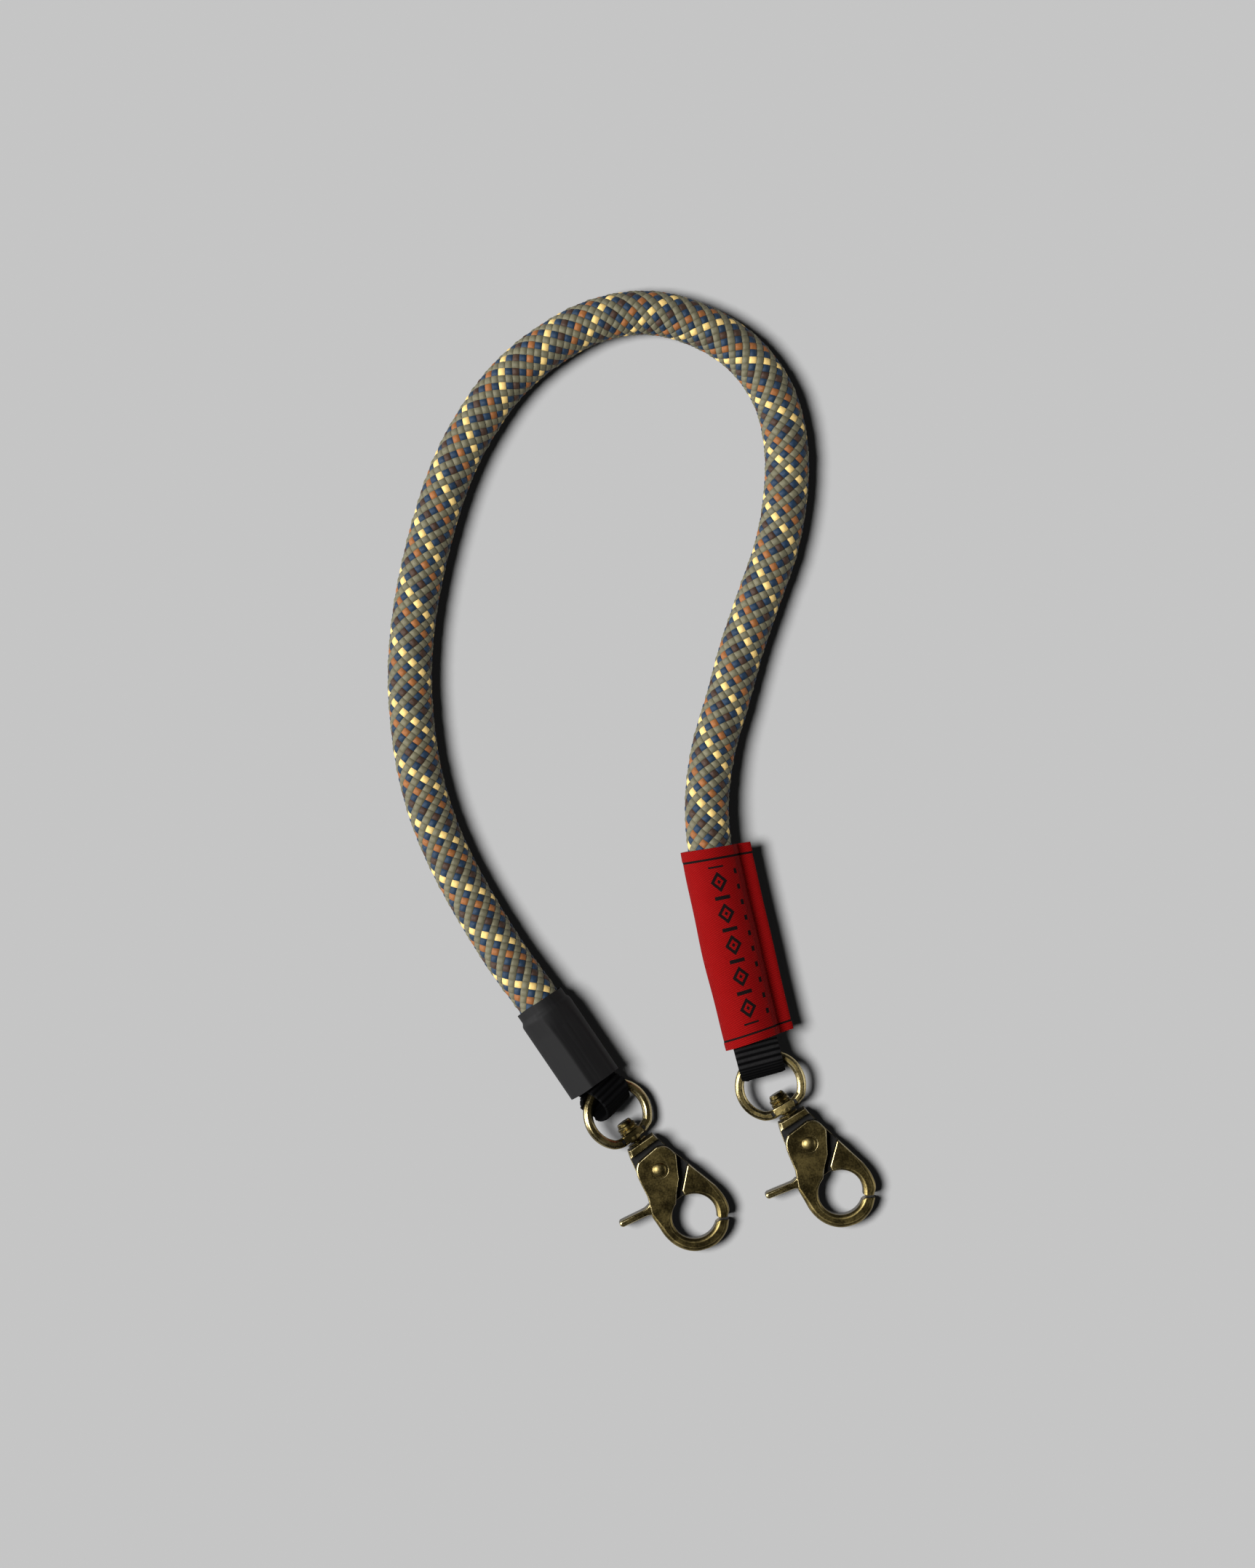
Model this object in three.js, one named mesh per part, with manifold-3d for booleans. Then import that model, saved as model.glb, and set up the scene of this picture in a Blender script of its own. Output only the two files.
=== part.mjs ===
// Wrist strap: a braided rope bent into a loop, with a heat-shrink sleeve on one end, a woven label on
// the other, and a swivel scissor hook hanging from a webbing loop at each.
// Millimetres, +Z up. The strap lies on the plane z = 0, wrist loop towards +Y, hooks towards -Y.
import * as THREE from 'three';
import { mergeVertices } from 'three/addons/utils/BufferGeometryUtils.js';
import Module from 'manifold-3d';

const { Manifold, Mesh: SolidMesh } = await loadSolids();

// ---------------------------------------------------------------- driving dimensions

const GAP = 0.3; // between pieces that meet
const CUT_PAST = 1; // how far a cutting shape runs past the face it cuts

const ROPE = {
  radius: 5, // across the flats
  sides: 12,
  steps: 38,
  lying: 5, // height of the middle where the rope lies on the surface
  raised: 6.55, // and where it runs inside the sleeve and the label
};

const SLEEVE = { length: 22, outer: 6.3, inner: 5.45, lip: 5.9, lipLength: 2, lipTaper: 0.6, sides: 24 };

const LABEL = {
  length: 43.6,
  outer: 6.5, // of the round that wraps the rope
  inner: 5.5,
  seamReach: 8.9, // from the middle of the rope to the edge of the sewn seam
  seamWidth: 2.3,
  seamThick: 1.6,
  seamAngle: 48, // round the section, where the cloth leaves the round for the seam
};

const WEBBING = { thick: 1.1, insert: 2.5, widthSteps: 2, lengthSteps: 34 };

const EYE = {
  radius: 6.85, // to the middle of the wire
  wire: 1,
  wireSides: 8,
  ringSteps: 32,
  bossReach: 7.6, // from the middle of the ring to the end of the boss
  bossLength: 2.5,
  bossRadius: 2.2,
  bossWidth: 7.6,
  bossHeight: 3,
  shoulderInset: 0.5, // how much shorter the flat shoulders are than the barrel
  bore: 1.3,
};

const HOOK = {
  half: 2.5, // half of the thickness
  frameTop: -0.2, // upper face of the frame's plate
  plateBottom: 0.1, // lower face of the trigger's plate
  plateReach: 8.2, // radius about the rivet within which the trigger is only a plate
  plateEdge: 7.6, // and to which the frame reaches under that plate
  mouth: { u: 12.95, v: 0.4, radius: 4.95 }, // round opening of the hook, measured from the rivet
  rivetBore: 1.25,
  swivel: { u: -15.1, v: -0.45 }, // middle of the eye's ring
};

// The swivel's stud along the hook's X: a head and a washer inside the ring, then the shank to the frame.
const STUD = {
  radius: 1,
  head: 1.6,
  headFrom: -12.8,
  headTo: -11.4,
  washer: 1.95,
  washerTo: -10.35,
  foot: -6.5,
};

const RIVET = { shank: 0.95, head: 1.8, dome: 0.7, seat: 2.65, foot: 1.7, footThick: 0.35 };

const LEVER = { thick: 1.5, root: [6.4, -6.3], tip: [5.1, -14.1], height: 4.4 };

// Where the strap's two ends lie. Yaw is turned from +X, pitch lowers the far end, roll lifts the left.
const ENDS = {
  left: {
    rivet: [5.94, -87.64, 4.28],
    yaw: -54.8,
    pitch: 5,
    eyeRoll: -18,
    loop: { at: [-7.9, -69.0, 6.5], yaw: -51, roll: -42, width: 9, length: 7.4, mouth: 1.45, depth: 3.5 },
  },
  right: {
    rivet: [38.78, -81.93, 4.28],
    yaw: -58.4,
    pitch: 5,
    eyeRoll: 0,
    loop: { at: [27.1, -60.0, 6.5], yaw: -75, roll: 0, width: 9.9, length: 7.6, mouth: 0.85, depth: 3.1 },
  },
};

const SLEEVE_MOUTH = [-20.4, -50.8];
const SLEEVE_YAW = -55.8;
const LABEL_MOUTH = [17.17, -17.1];
const LABEL_YAW = -77;

// The rope's middle line from inside the sleeve, round the wrist loop, to inside the label.
const ROUTE = [
  [-9.8, -66.4, ROPE.raised],
  [-14.2, -59.9, ROPE.raised],
  [-20.4, -50.8, ROPE.raised],
  [-27.4, -41.2, 5.9],
  [-33.5, -31.5, 5.3],
  [-39.1, -21.4, ROPE.lying],
  [-43.7, -10.8, ROPE.lying],
  [-46.8, 0.4, ROPE.lying],
  [-48.4, 11.7, ROPE.lying],
  [-48.8, 22.7, ROPE.lying],
  [-47.6, 35.7, ROPE.lying],
  [-44.2, 51.7, ROPE.lying],
  [-39.4, 66.3, ROPE.lying],
  [-34.1, 76.5, ROPE.lying],
  [-27.3, 85.8, ROPE.lying],
  [-18.5, 93.3, ROPE.lying],
  [-8.2, 98.8, ROPE.lying],
  [3.1, 100.7, ROPE.lying],
  [14.5, 98.0, ROPE.lying],
  [24.3, 91.9, ROPE.lying],
  [31.1, 82.6, ROPE.lying],
  [33.9, 71.4, ROPE.lying],
  [33.7, 59.7, ROPE.lying],
  [31.6, 48.5, ROPE.lying],
  [27.8, 37.5, ROPE.lying],
  [24.1, 26.6, ROPE.lying],
  [21.1, 15.6, 5.1],
  [17.9, 4.4, 5.7],
  [16.5, -7.2, 6.3],
  [17.17, -17.1, ROPE.raised],
  [18.75, -23.9, ROPE.raised],
  [20.32, -30.7, ROPE.raised],
  [23.47, -44.4, ROPE.raised],
  [26.26, -56.5, ROPE.raised],
];

// ---------------------------------------------------------------- colours

const finish = (color, roughness, metalness = 0) =>
  new THREE.MeshStandardMaterial({ color, roughness, metalness });

const COLOURS = {
  braid: finish(0x5e6350, 0.85),
  shrink: finish(0x2b2a2b, 0.6),
  redWeave: finish(0xb41016, 0.8),
  blackWebbing: finish(0x1c1d20, 0.9),
  oldBrass: finish(0x6f6433, 0.35, 1),
};

// ---------------------------------------------------------------- solids

async function loadSolids() {
  const wasm = await Module();
  wasm.setup();
  return wasm;
}

function toSolid(geometry) {
  const bare = geometry.clone();
  bare.deleteAttribute('normal');
  bare.deleteAttribute('uv');
  const merged = mergeVertices(bare, 1e-4);
  return new Manifold(new SolidMesh({
    numProp: 3,
    vertProperties: merged.attributes.position.array,
    triVerts: new Uint32Array(merged.index.array),
  }));
}

function toGeometry(solid) {
  const { vertProperties, triVerts } = solid.getMesh();
  const geometry = new THREE.BufferGeometry();
  geometry.setAttribute('position', new THREE.BufferAttribute(vertProperties, 3));
  geometry.setIndex(new THREE.BufferAttribute(triVerts, 1));
  geometry.computeVertexNormals();
  return geometry;
}

function mesh(name, geometry, material) {
  const made = new THREE.Mesh(geometry, material);
  made.name = name;
  return made;
}

const radians = THREE.MathUtils.degToRad;

// A group whose +X runs along a piece, turned by yaw, then pitch, then roll.
function placed([x, y, z], { yaw, pitch = 0, roll = 0 }, ...children) {
  const group = new THREE.Group();
  group.position.set(x, y, z);
  group.rotation.set(radians(roll), radians(pitch), radians(yaw), 'ZYX');
  if (children.length) group.add(...children);
  return group;
}

// A slab of a flat outline between two heights.
function slab(shape, from, to, curveSegments = 8) {
  const geometry = new THREE.ExtrudeGeometry(shape, { depth: to - from, bevelEnabled: false, curveSegments });
  return geometry.translate(0, 0, from);
}

function cylinderUp(radius, from, to, sides = 16) {
  const geometry = new THREE.CylinderGeometry(radius, radius, to - from, sides);
  return geometry.rotateX(Math.PI / 2).translate(0, 0, (from + to) / 2);
}

function cylinderAlong(radius, from, to, sides = 16) {
  const geometry = new THREE.CylinderGeometry(radius, radius, to - from, sides);
  return geometry.rotateZ(Math.PI / 2).translate((from + to) / 2, 0, 0);
}

// A turned piece about +X, from [distance along X, radius] pairs.
function turned(profile, sides = 20) {
  const points = profile.map(([along, radius]) => new THREE.Vector2(radius, along));
  return new THREE.LatheGeometry(points, sides).rotateZ(-Math.PI / 2);
}

const vector = ([x, y]) => new THREE.Vector2(x, y);

// ---------------------------------------------------------------- rope

// A smooth route whose section keeps its sides level, so that its lowest facet lies flat.
class LevelRoute extends THREE.CatmullRomCurve3 {
  getPoint(t, target) {
    const point = super.getPoint(t, target);
    point.z = Math.max(point.z, ROPE.lying);
    return point;
  }

  computeFrenetFrames(segments) {
    const up = new THREE.Vector3(0, 0, 1);
    const tangents = [];
    const normals = [];
    const binormals = [];
    for (let i = 0; i <= segments; i++) {
      const tangent = this.getTangentAt(i / segments);
      const side = new THREE.Vector3().crossVectors(up, tangent).normalize();
      tangents.push(tangent);
      normals.push(side);
      binormals.push(new THREE.Vector3().crossVectors(tangent, side));
    }
    return { tangents, normals, binormals };
  }
}

function ropeSection() {
  const corner = ROPE.radius / Math.cos(Math.PI / ROPE.sides);
  const points = [];
  for (let i = 0; i < ROPE.sides; i++) {
    const angle = ((i + 0.5) / ROPE.sides) * 2 * Math.PI;
    points.push(new THREE.Vector2(corner * Math.cos(angle), corner * Math.sin(angle)));
  }
  return new THREE.Shape(points);
}

function makeRope() {
  const route = new LevelRoute(ROUTE.map((point) => new THREE.Vector3(...point)));
  const geometry = new THREE.ExtrudeGeometry(ropeSection(), { steps: ROPE.steps, extrudePath: route });
  return mesh('braided_rope', geometry, COLOURS.braid);
}

// ---------------------------------------------------------------- sleeve and label

function makeSleeve() {
  const { length, outer, inner, lip, lipLength, lipTaper, sides } = SLEEVE;
  const profile = [
    [0, inner],
    [0, lip],
    [lipLength, lip],
    [lipLength + lipTaper, outer],
    [length, outer],
    [length, inner],
    [0, inner],
  ];
  const sleeve = mesh('shrink_sleeve', turned(profile, sides), COLOURS.shrink);
  return placed([...SLEEVE_MOUTH, ROPE.raised], { yaw: SLEEVE_YAW }, sleeve);
}

// Section of the label across its length: a round about the rope that closes in a flat sewn seam.
function labelSection() {
  const { outer, inner, seamReach, seamWidth, seamThick, seamAngle } = LABEL;
  const leave = radians(seamAngle);
  const valley = seamReach - seamWidth;
  const halfSeam = seamThick / 2;
  const section = new THREE.Shape();
  section.moveTo(seamReach, -halfSeam);
  section.lineTo(seamReach, halfSeam);
  section.lineTo(valley, halfSeam);
  section.lineTo(outer * Math.cos(leave), outer * Math.sin(leave));
  section.absarc(0, 0, outer, leave, 2 * Math.PI - leave, false);
  section.lineTo(valley, -halfSeam);
  const bore = new THREE.Path();
  bore.absarc(0, 0, inner, 0, 2 * Math.PI, true);
  section.holes.push(bore);
  return section;
}

function makeLabel() {
  const geometry = slab(labelSection(), 0, LABEL.length, 12);
  // The section stood in x and y and now stands across the label: +X along it, +Y towards the seam.
  geometry.rotateZ(Math.PI / 2).rotateY(Math.PI / 2);
  const label = mesh('woven_label', geometry, COLOURS.redWeave);
  return placed([...LABEL_MOUTH, ROPE.raised], { yaw: LABEL_YAW }, label);
}

// ---------------------------------------------------------------- webbing loops

// The middle line of a loop in its side view: in from the end piece, round the fold and back.
function loopLine({ length, mouth, depth }) {
  const v = (along, height) => new THREE.Vector3(along, 0, height);
  const line = new THREE.CurvePath();
  const reach = length - WEBBING.thick / 2;
  const inside = -WEBBING.insert;
  line.add(new THREE.LineCurve3(v(inside, mouth), v(0, mouth)));
  line.add(new THREE.CubicBezierCurve3(v(0, mouth), v(0.35 * reach, depth), v(reach, depth), v(reach, 0)));
  line.add(new THREE.CubicBezierCurve3(v(reach, 0), v(reach, -depth), v(0.35 * reach, -depth), v(0, -mouth)));
  line.add(new THREE.LineCurve3(v(0, -mouth), v(inside, -mouth)));
  return line;
}

// A flat strip bent along the loop line: its length runs along the line, its width across it.
function loopStrip(loop) {
  const { thick, widthSteps, lengthSteps } = WEBBING;
  const strip = new THREE.BoxGeometry(1, loop.width, thick, lengthSteps, widthSteps, 1);
  const line = loopLine(loop);
  const place = strip.getAttribute('position');
  for (let i = 0; i < place.count; i++) {
    const t = THREE.MathUtils.clamp(place.getX(i) + 0.5, 0, 1);
    const middle = line.getPointAt(t);
    const tangent = line.getTangentAt(t);
    const height = place.getZ(i);
    place.setXYZ(i, middle.x - tangent.z * height, place.getY(i), middle.z + tangent.x * height);
  }
  return strip;
}

function makeWebbing(side, end) {
  const { loop } = end;
  const name = 'webbing_loop_' + side;
  const frame = placed(loop.at, { yaw: loop.yaw, pitch: end.pitch, roll: loop.roll });
  const eye = eyeFrame(end);
  frame.updateMatrixWorld(true);
  eye.updateMatrixWorld(true);
  const intoLoop = frame.matrixWorld.clone().invert().multiply(eye.matrixWorld);
  const room = new THREE.TorusGeometry(EYE.radius, EYE.wire + GAP, 10, EYE.ringSteps).applyMatrix4(intoLoop);
  const strip = toSolid(loopStrip(loop)).subtract(toSolid(room));
  frame.add(mesh(name, toGeometry(strip), COLOURS.blackWebbing));
  return frame;
}

// ---------------------------------------------------------------- eyes

// The eye's own frame: middle of the ring, +X towards the hook, ring in the XY plane.
function eyeFrame(end) {
  const hook = placed(end.rivet, { yaw: end.yaw, pitch: end.pitch });
  hook.updateMatrixWorld(true);
  const middle = new THREE.Vector3(HOOK.swivel.u, HOOK.swivel.v, 0).applyMatrix4(hook.matrixWorld);
  return placed(middle.toArray(), { yaw: end.yaw, pitch: end.pitch, roll: end.eyeRoll });
}

function makeEye(side, end) {
  const { bossReach, bossLength, bossRadius, bossWidth, bossHeight, shoulderInset } = EYE;
  const ring = toSolid(new THREE.TorusGeometry(EYE.radius, EYE.wire, EYE.wireSides, EYE.ringSteps));
  const bossFrom = bossReach - bossLength;
  const barrel = toSolid(cylinderAlong(bossRadius, bossFrom, bossReach));
  const shoulder = new THREE.BoxGeometry(bossLength - shoulderInset, bossWidth, bossHeight);
  shoulder.translate(bossFrom + bossLength / 2, 0, 0);
  const bore = toSolid(cylinderAlong(EYE.bore, bossFrom - CUT_PAST, bossReach + CUT_PAST));
  const solid = ring.add(barrel).add(toSolid(shoulder)).subtract(bore);
  const frame = eyeFrame(end);
  frame.add(mesh('eye_' + side, toGeometry(solid), COLOURS.oldBrass));
  return frame;
}

// ---------------------------------------------------------------- hooks

// Outlines lie in the hook's own frame: origin at the rivet, +X to the tip, +Y to the fixed jaw.

function frameOutline() {
  const { mouth, plateEdge } = HOOK;
  const from = Math.asin(-5.3 / plateEdge);
  const to = Math.asin(-1.0 / plateEdge);
  const outline = new THREE.Shape([[-7.2, -3.35], [-5.4, -3.9], [-1.1, -4.7], [3.0, -5.0]].map(vector));
  outline.absarc(0, 0, plateEdge, from, to, false);
  outline.absarc(mouth.u, mouth.v, mouth.radius, radians(191), radians(48.7), true);
  outline.lineTo(17.3, 6.35);
  outline.splineThru([[16.0, 7.65], [13.2, 8.3], [10.3, 8.1]].map(vector));
  [[2.85, 6.0], [-0.2, 5.05], [-5.8, 3.6], [-7.2, 3.35]].forEach(([u, v]) => outline.lineTo(u, v));
  return outline;
}

// The part of the frame that is milled down, where the trigger's plate lies and turns.
function recessOutline() {
  const belowMouth = [[-5.45, -9], [12, -9], [12, -0.5], [8.9, 1.0], [6.8, 1.4]];
  const underFixedJaw = [[2.85, 5.5], [2.5, 7], [-5.75, 7]];
  return new THREE.Shape([...belowMouth, ...underFixedJaw].map(vector));
}

function makeFrame(side) {
  const { half, frameTop, rivetBore, swivel } = HOOK;
  const plate = toSolid(slab(frameOutline(), -half, half, 6));
  const recess = toSolid(slab(recessOutline(), frameTop, half + CUT_PAST));
  const bore = toSolid(cylinderUp(rivetBore, -half - CUT_PAST, half + CUT_PAST));
  const { radius, head, headFrom, headTo, washer, washerTo, foot } = STUD;
  const studProfile = [
    [headFrom, 0],
    [headFrom, head],
    [headTo, head],
    [headTo, washer],
    [washerTo, washer],
    [washerTo, radius],
    [foot, radius],
    [foot, 0],
  ];
  const stud = toSolid(turned(studProfile, 16).translate(0, swivel.v, 0));
  const solid = plate.subtract(recess).subtract(bore).add(stud);
  return mesh('hook_frame_' + side, toGeometry(solid), COLOURS.oldBrass);
}

function triggerOutline() {
  const { mouth } = HOOK;
  const outline = new THREE.Shape();
  outline.moveTo(-3.5, -3.05);
  outline.quadraticCurveTo(-2.6, -4.4, 0, -5.1);
  [[3.55, -5.6], [5.8, -6.5], [7.8, -7.3]].forEach(([u, v]) => outline.lineTo(u, v));
  const outer = [[10.3, -7.2], [12.8, -7.2], [15.3, -6.65], [17.5, -5.4], [19.3, -3.5], [20.35, -0.6]];
  outline.splineThru([...outer, [20.4, 1.6], [19.4, 4.3], [17.75, 6.1]].map(vector));
  outline.absarc(mouth.u, mouth.v, mouth.radius, radians(44.5), radians(-159), true);
  [[6.6, 0], [4.2, 2.35], [-0.4, 4.8]].forEach(([u, v]) => outline.lineTo(u, v));
  outline.quadraticCurveTo(-3.2, 4.5, -4.05, 2.4);
  return outline;
}

function leverBar() {
  const { root, tip, thick, height } = LEVER;
  const length = Math.hypot(tip[0] - root[0], tip[1] - root[1]);
  const bar = new THREE.Shape();
  bar.moveTo(0, -thick / 2);
  bar.lineTo(length - thick / 2, -thick / 2);
  bar.absarc(length - thick / 2, 0, thick / 2, -Math.PI / 2, Math.PI / 2, false);
  bar.lineTo(0, thick / 2);
  const geometry = slab(bar, -height / 2, height / 2, 4);
  return geometry.rotateZ(Math.atan2(tip[1] - root[1], tip[0] - root[0])).translate(root[0], root[1], 0);
}

function makeTrigger(side) {
  const { half, plateBottom, plateReach, rivetBore } = HOOK;
  const whole = toSolid(slab(triggerOutline(), -half, half, 8)).add(toSolid(leverBar()));
  const room = toSolid(cylinderUp(plateReach, -half - CUT_PAST, plateBottom, 32));
  const bore = toSolid(cylinderUp(rivetBore, -half - CUT_PAST, half + CUT_PAST));
  return mesh('trigger_jaw_' + side, toGeometry(whole.subtract(room).subtract(bore)), COLOURS.oldBrass);
}

function makeRivet(side) {
  const { shank, head, dome, seat, foot, footThick } = RIVET;
  const profile = [
    [-seat - footThick, 0],
    [-seat - footThick, foot],
    [-seat, foot],
    [-seat, shank],
    [seat, shank],
    [seat, head],
    [seat + 0.5 * dome, 0.85 * head],
    [seat + 0.9 * dome, 0.45 * head],
    [seat + dome, 0],
  ];
  const geometry = turned(profile, 16).rotateY(-Math.PI / 2);
  return mesh('rivet_' + side, geometry, COLOURS.oldBrass);
}

function makeHook(side, end) {
  const pieces = [makeFrame(side), makeTrigger(side), makeRivet(side)];
  return placed(end.rivet, { yaw: end.yaw, pitch: end.pitch }, ...pieces);
}

// ---------------------------------------------------------------- the strap

const group = new THREE.Group();
group.add(makeRope(), makeSleeve(), makeLabel());
for (const [side, end] of Object.entries(ENDS)) {
  group.add(makeWebbing(side, end), makeEye(side, end), makeHook(side, end));
}

export default group;
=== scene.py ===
"""Wrist strap: a braided rope bent into a loop, with a shrink sleeve and a woven label on its two ends
and a swivel scissor hook in a webbing loop at each. Sizes are in millimetres, finished meshes in metres."""
import logging
import math
from dataclasses import dataclass
from enum import Enum
from typing import Callable, Sequence

import bmesh
import bpy
from mathutils import Matrix, Vector


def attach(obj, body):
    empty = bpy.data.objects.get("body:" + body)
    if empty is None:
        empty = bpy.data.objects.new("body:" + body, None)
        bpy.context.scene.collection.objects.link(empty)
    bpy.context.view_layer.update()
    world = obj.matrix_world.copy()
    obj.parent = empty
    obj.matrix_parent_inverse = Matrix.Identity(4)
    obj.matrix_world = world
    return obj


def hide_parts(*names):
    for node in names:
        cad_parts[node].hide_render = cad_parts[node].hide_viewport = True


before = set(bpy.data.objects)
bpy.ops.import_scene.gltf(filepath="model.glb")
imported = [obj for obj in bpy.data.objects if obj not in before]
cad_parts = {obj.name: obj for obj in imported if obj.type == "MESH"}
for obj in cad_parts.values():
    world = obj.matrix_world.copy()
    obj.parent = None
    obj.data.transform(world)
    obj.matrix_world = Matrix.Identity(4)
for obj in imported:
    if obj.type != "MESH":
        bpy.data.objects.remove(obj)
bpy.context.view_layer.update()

logging.basicConfig(level=logging.INFO, format="%(name)s: %(message)s")
log = logging.getLogger("wrist strap")

MM = 0.001
WELD = 1e-4
TINY = 1e-6

Pair = tuple[float, float]
Point = tuple[float, float, float]
Colour = tuple[float, float, float]


# ------------------------ arithmetic in nodes


class Field:
    """A number carried by a node socket; arithmetic on it adds Math nodes to its graph."""

    def __init__(self, graph: "Graph", socket: bpy.types.NodeSocket) -> None:
        """Wraps a socket of that graph."""
        self.graph = graph
        self.socket = socket

    def _math(self, operation: str, *others: "Field | float") -> "Field":
        """Adds one Math node that starts from this number."""
        return self.graph.math(operation, self, *others)

    def __add__(self, other: "Field | float") -> "Field":
        """Sum."""
        return self._math("ADD", other)

    def __sub__(self, other: "Field | float") -> "Field":
        """Difference."""
        return self._math("SUBTRACT", other)

    def __mul__(self, other: "Field | float") -> "Field":
        """Product."""
        return self._math("MULTIPLY", other)

    def __truediv__(self, other: "Field | float") -> "Field":
        """Quotient."""
        return self._math("DIVIDE", other)

    def __mod__(self, other: "Field | float") -> "Field":
        """Remainder that is never negative."""
        return self._math("FLOORED_MODULO", other)

    def power(self, exponent: float) -> "Field":
        """This number to that power."""
        return self._math("POWER", exponent)

    def apply(self, operation: str) -> "Field":
        """A Math node of one input, such as FLOOR, ABSOLUTE or SINE."""
        return self._math(operation)

    def below(self, limit: "Field | float") -> "Field":
        """1 where this number is under the limit, and 0 elsewhere."""
        return self._math("LESS_THAN", limit)


class Graph:
    """Adds nodes to one node tree, each linked as it is made."""

    def __init__(self, tree: bpy.types.NodeTree) -> None:
        """Works on that tree."""
        self.tree = tree

    def feed(self, socket: bpy.types.NodeSocket, value: object) -> None:
        """Gives an input its value.

        Args:
            socket: the input.
            value: a socket or a field to link, or the input's own value.
        """
        if isinstance(value, Field):
            value = value.socket
        if isinstance(value, bpy.types.NodeSocket):
            self.tree.links.new(value, socket)
        else:
            socket.default_value = value

    def node(self, kind: str, inputs: dict | None = None, **settings: object) -> bpy.types.Node:
        """Adds a node.

        Args:
            kind: the node's type.
            inputs: what goes into its inputs, by name or number.
            settings: its own options.

        Returns:
            The node.
        """
        made = self.tree.nodes.new(kind)
        for name, value in settings.items():
            setattr(made, name, value)
        for key, value in (inputs or {}).items():
            self.feed(made.inputs[key], value)
        return made

    def math(self, operation: str, *values: object) -> Field:
        """Adds a Math node fed with those values."""
        inputs = dict(enumerate(values))
        return Field(self, self.node("ShaderNodeMath", inputs, operation=operation).outputs[0])

    def vector(self, x: object = 0.0, y: object = 0.0, z: object = 0.0) -> bpy.types.NodeSocket:
        """A vector of three numbers."""
        return self.node("ShaderNodeCombineXYZ", {0: x, 1: y, 2: z}).outputs[0]

    def parts(self, vector: bpy.types.NodeSocket) -> tuple[Field, Field, Field]:
        """The three numbers of a vector."""
        split = self.node("ShaderNodeSeparateXYZ", {0: vector})
        return tuple(Field(self, output) for output in split.outputs)

    def vector_math(self, operation: str, *values: object) -> bpy.types.NodeSocket:
        """Adds a Vector Math node and gives its vector."""
        return self.node("ShaderNodeVectorMath", dict(enumerate(values)), operation=operation).outputs[0]

    def unit(self, value: Field) -> Field:
        """A number held between 0 and 1."""
        return self.math("MINIMUM", self.math("MAXIMUM", value, 0.0), 1.0)

    def spread(self, value: Field, low: tuple, high: tuple) -> Field:
        """Maps a number smoothly.

        Args:
            value: the number.
            low: a value and what it becomes.
            high: a larger value and what it becomes.

        Returns:
            The mapped number, which stays between the two results.
        """
        inputs = {0: value, 1: low[0], 2: high[0], 3: low[1], 4: high[1]}
        node = self.node("ShaderNodeMapRange", inputs, interpolation_type="SMOOTHSTEP")
        return Field(self, node.outputs[0])

    def scaled(self, vector: bpy.types.NodeSocket, by: object) -> bpy.types.NodeSocket:
        """A vector times a number."""
        node = self.node("ShaderNodeVectorMath", {0: vector, "Scale": by}, operation="SCALE")
        return node.outputs[0]


# ------------------------ finishes


class Paint(Graph):
    """A material under construction round one Principled shader."""

    def __init__(self, name: str, **sockets: object) -> None:
        """Makes the material and sets the shader's plain sockets.

        Args:
            name: the material's name.
            sockets: values for the shader's inputs, with _ for a space.
        """
        self.material = bpy.data.materials.new(name)
        self.material.use_nodes = True
        super().__init__(self.material.node_tree)
        self.shader = self.tree.nodes["Principled BSDF"]
        for key, value in sockets.items():
            self.feed(self.shader.inputs[key.replace("_", " ")], value)

    def place(self) -> bpy.types.NodeSocket:
        """Object coordinates, in metres."""
        return self.node("ShaderNodeTexCoord").outputs["Object"]

    def mark(self, name: str) -> Field:
        """A number that the mesh carries under that name."""
        return Field(self, self.node("ShaderNodeAttribute", attribute_name=name).outputs["Fac"])

    def across(self) -> tuple[Field, Field]:
        """The two numbers of the piece's own UV map."""
        uv = self.node("ShaderNodeUVMap", uv_map="UVMap").outputs[0]
        return self.parts(uv)[:2]

    def noise(self, at: bpy.types.NodeSocket, scale: float, detail: float = 3.0) -> Field:
        """Noise from 0 to 1."""
        inputs = {"Vector": at, "Scale": scale, "Detail": detail}
        return Field(self, self.node("ShaderNodeTexNoise", inputs).outputs["Fac"])

    def mix(
        self, share: object, first: object, second: object, blend: str = "MIX"
    ) -> bpy.types.NodeSocket:
        """A mix of two colours.

        Args:
            share: how much of the second shows.
            first: a colour.
            second: another colour.
            blend: the way they mix.

        Returns:
            The mixed colour.
        """
        node = self.node("ShaderNodeMix", data_type="RGBA", blend_type=blend)
        for key, value in ((0, share), (6, first), (7, second)):
            self.feed(node.inputs[key], (*value, 1.0) if isinstance(value, tuple) else value)
        return node.outputs[2]

    def grey(self, value: Field) -> bpy.types.NodeSocket:
        """A grey of that strength, to multiply a colour with."""
        return self.vector(value, value, value)

    def colour(self, value: bpy.types.NodeSocket) -> None:
        """Sets the base colour."""
        self.feed(self.shader.inputs["Base Color"], value)

    def roughness(self, value: Field) -> None:
        """Sets the roughness."""
        self.feed(self.shader.inputs["Roughness"], value)

    def relief(self, height: Field, depth: float) -> None:
        """Sets a bump from a height of 0 to 1, that many metres deep."""
        inputs = {"Height": height, "Distance": depth, "Strength": 1.0}
        self.feed(self.shader.inputs["Normal"], self.node("ShaderNodeBump", inputs).outputs[0])


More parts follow.
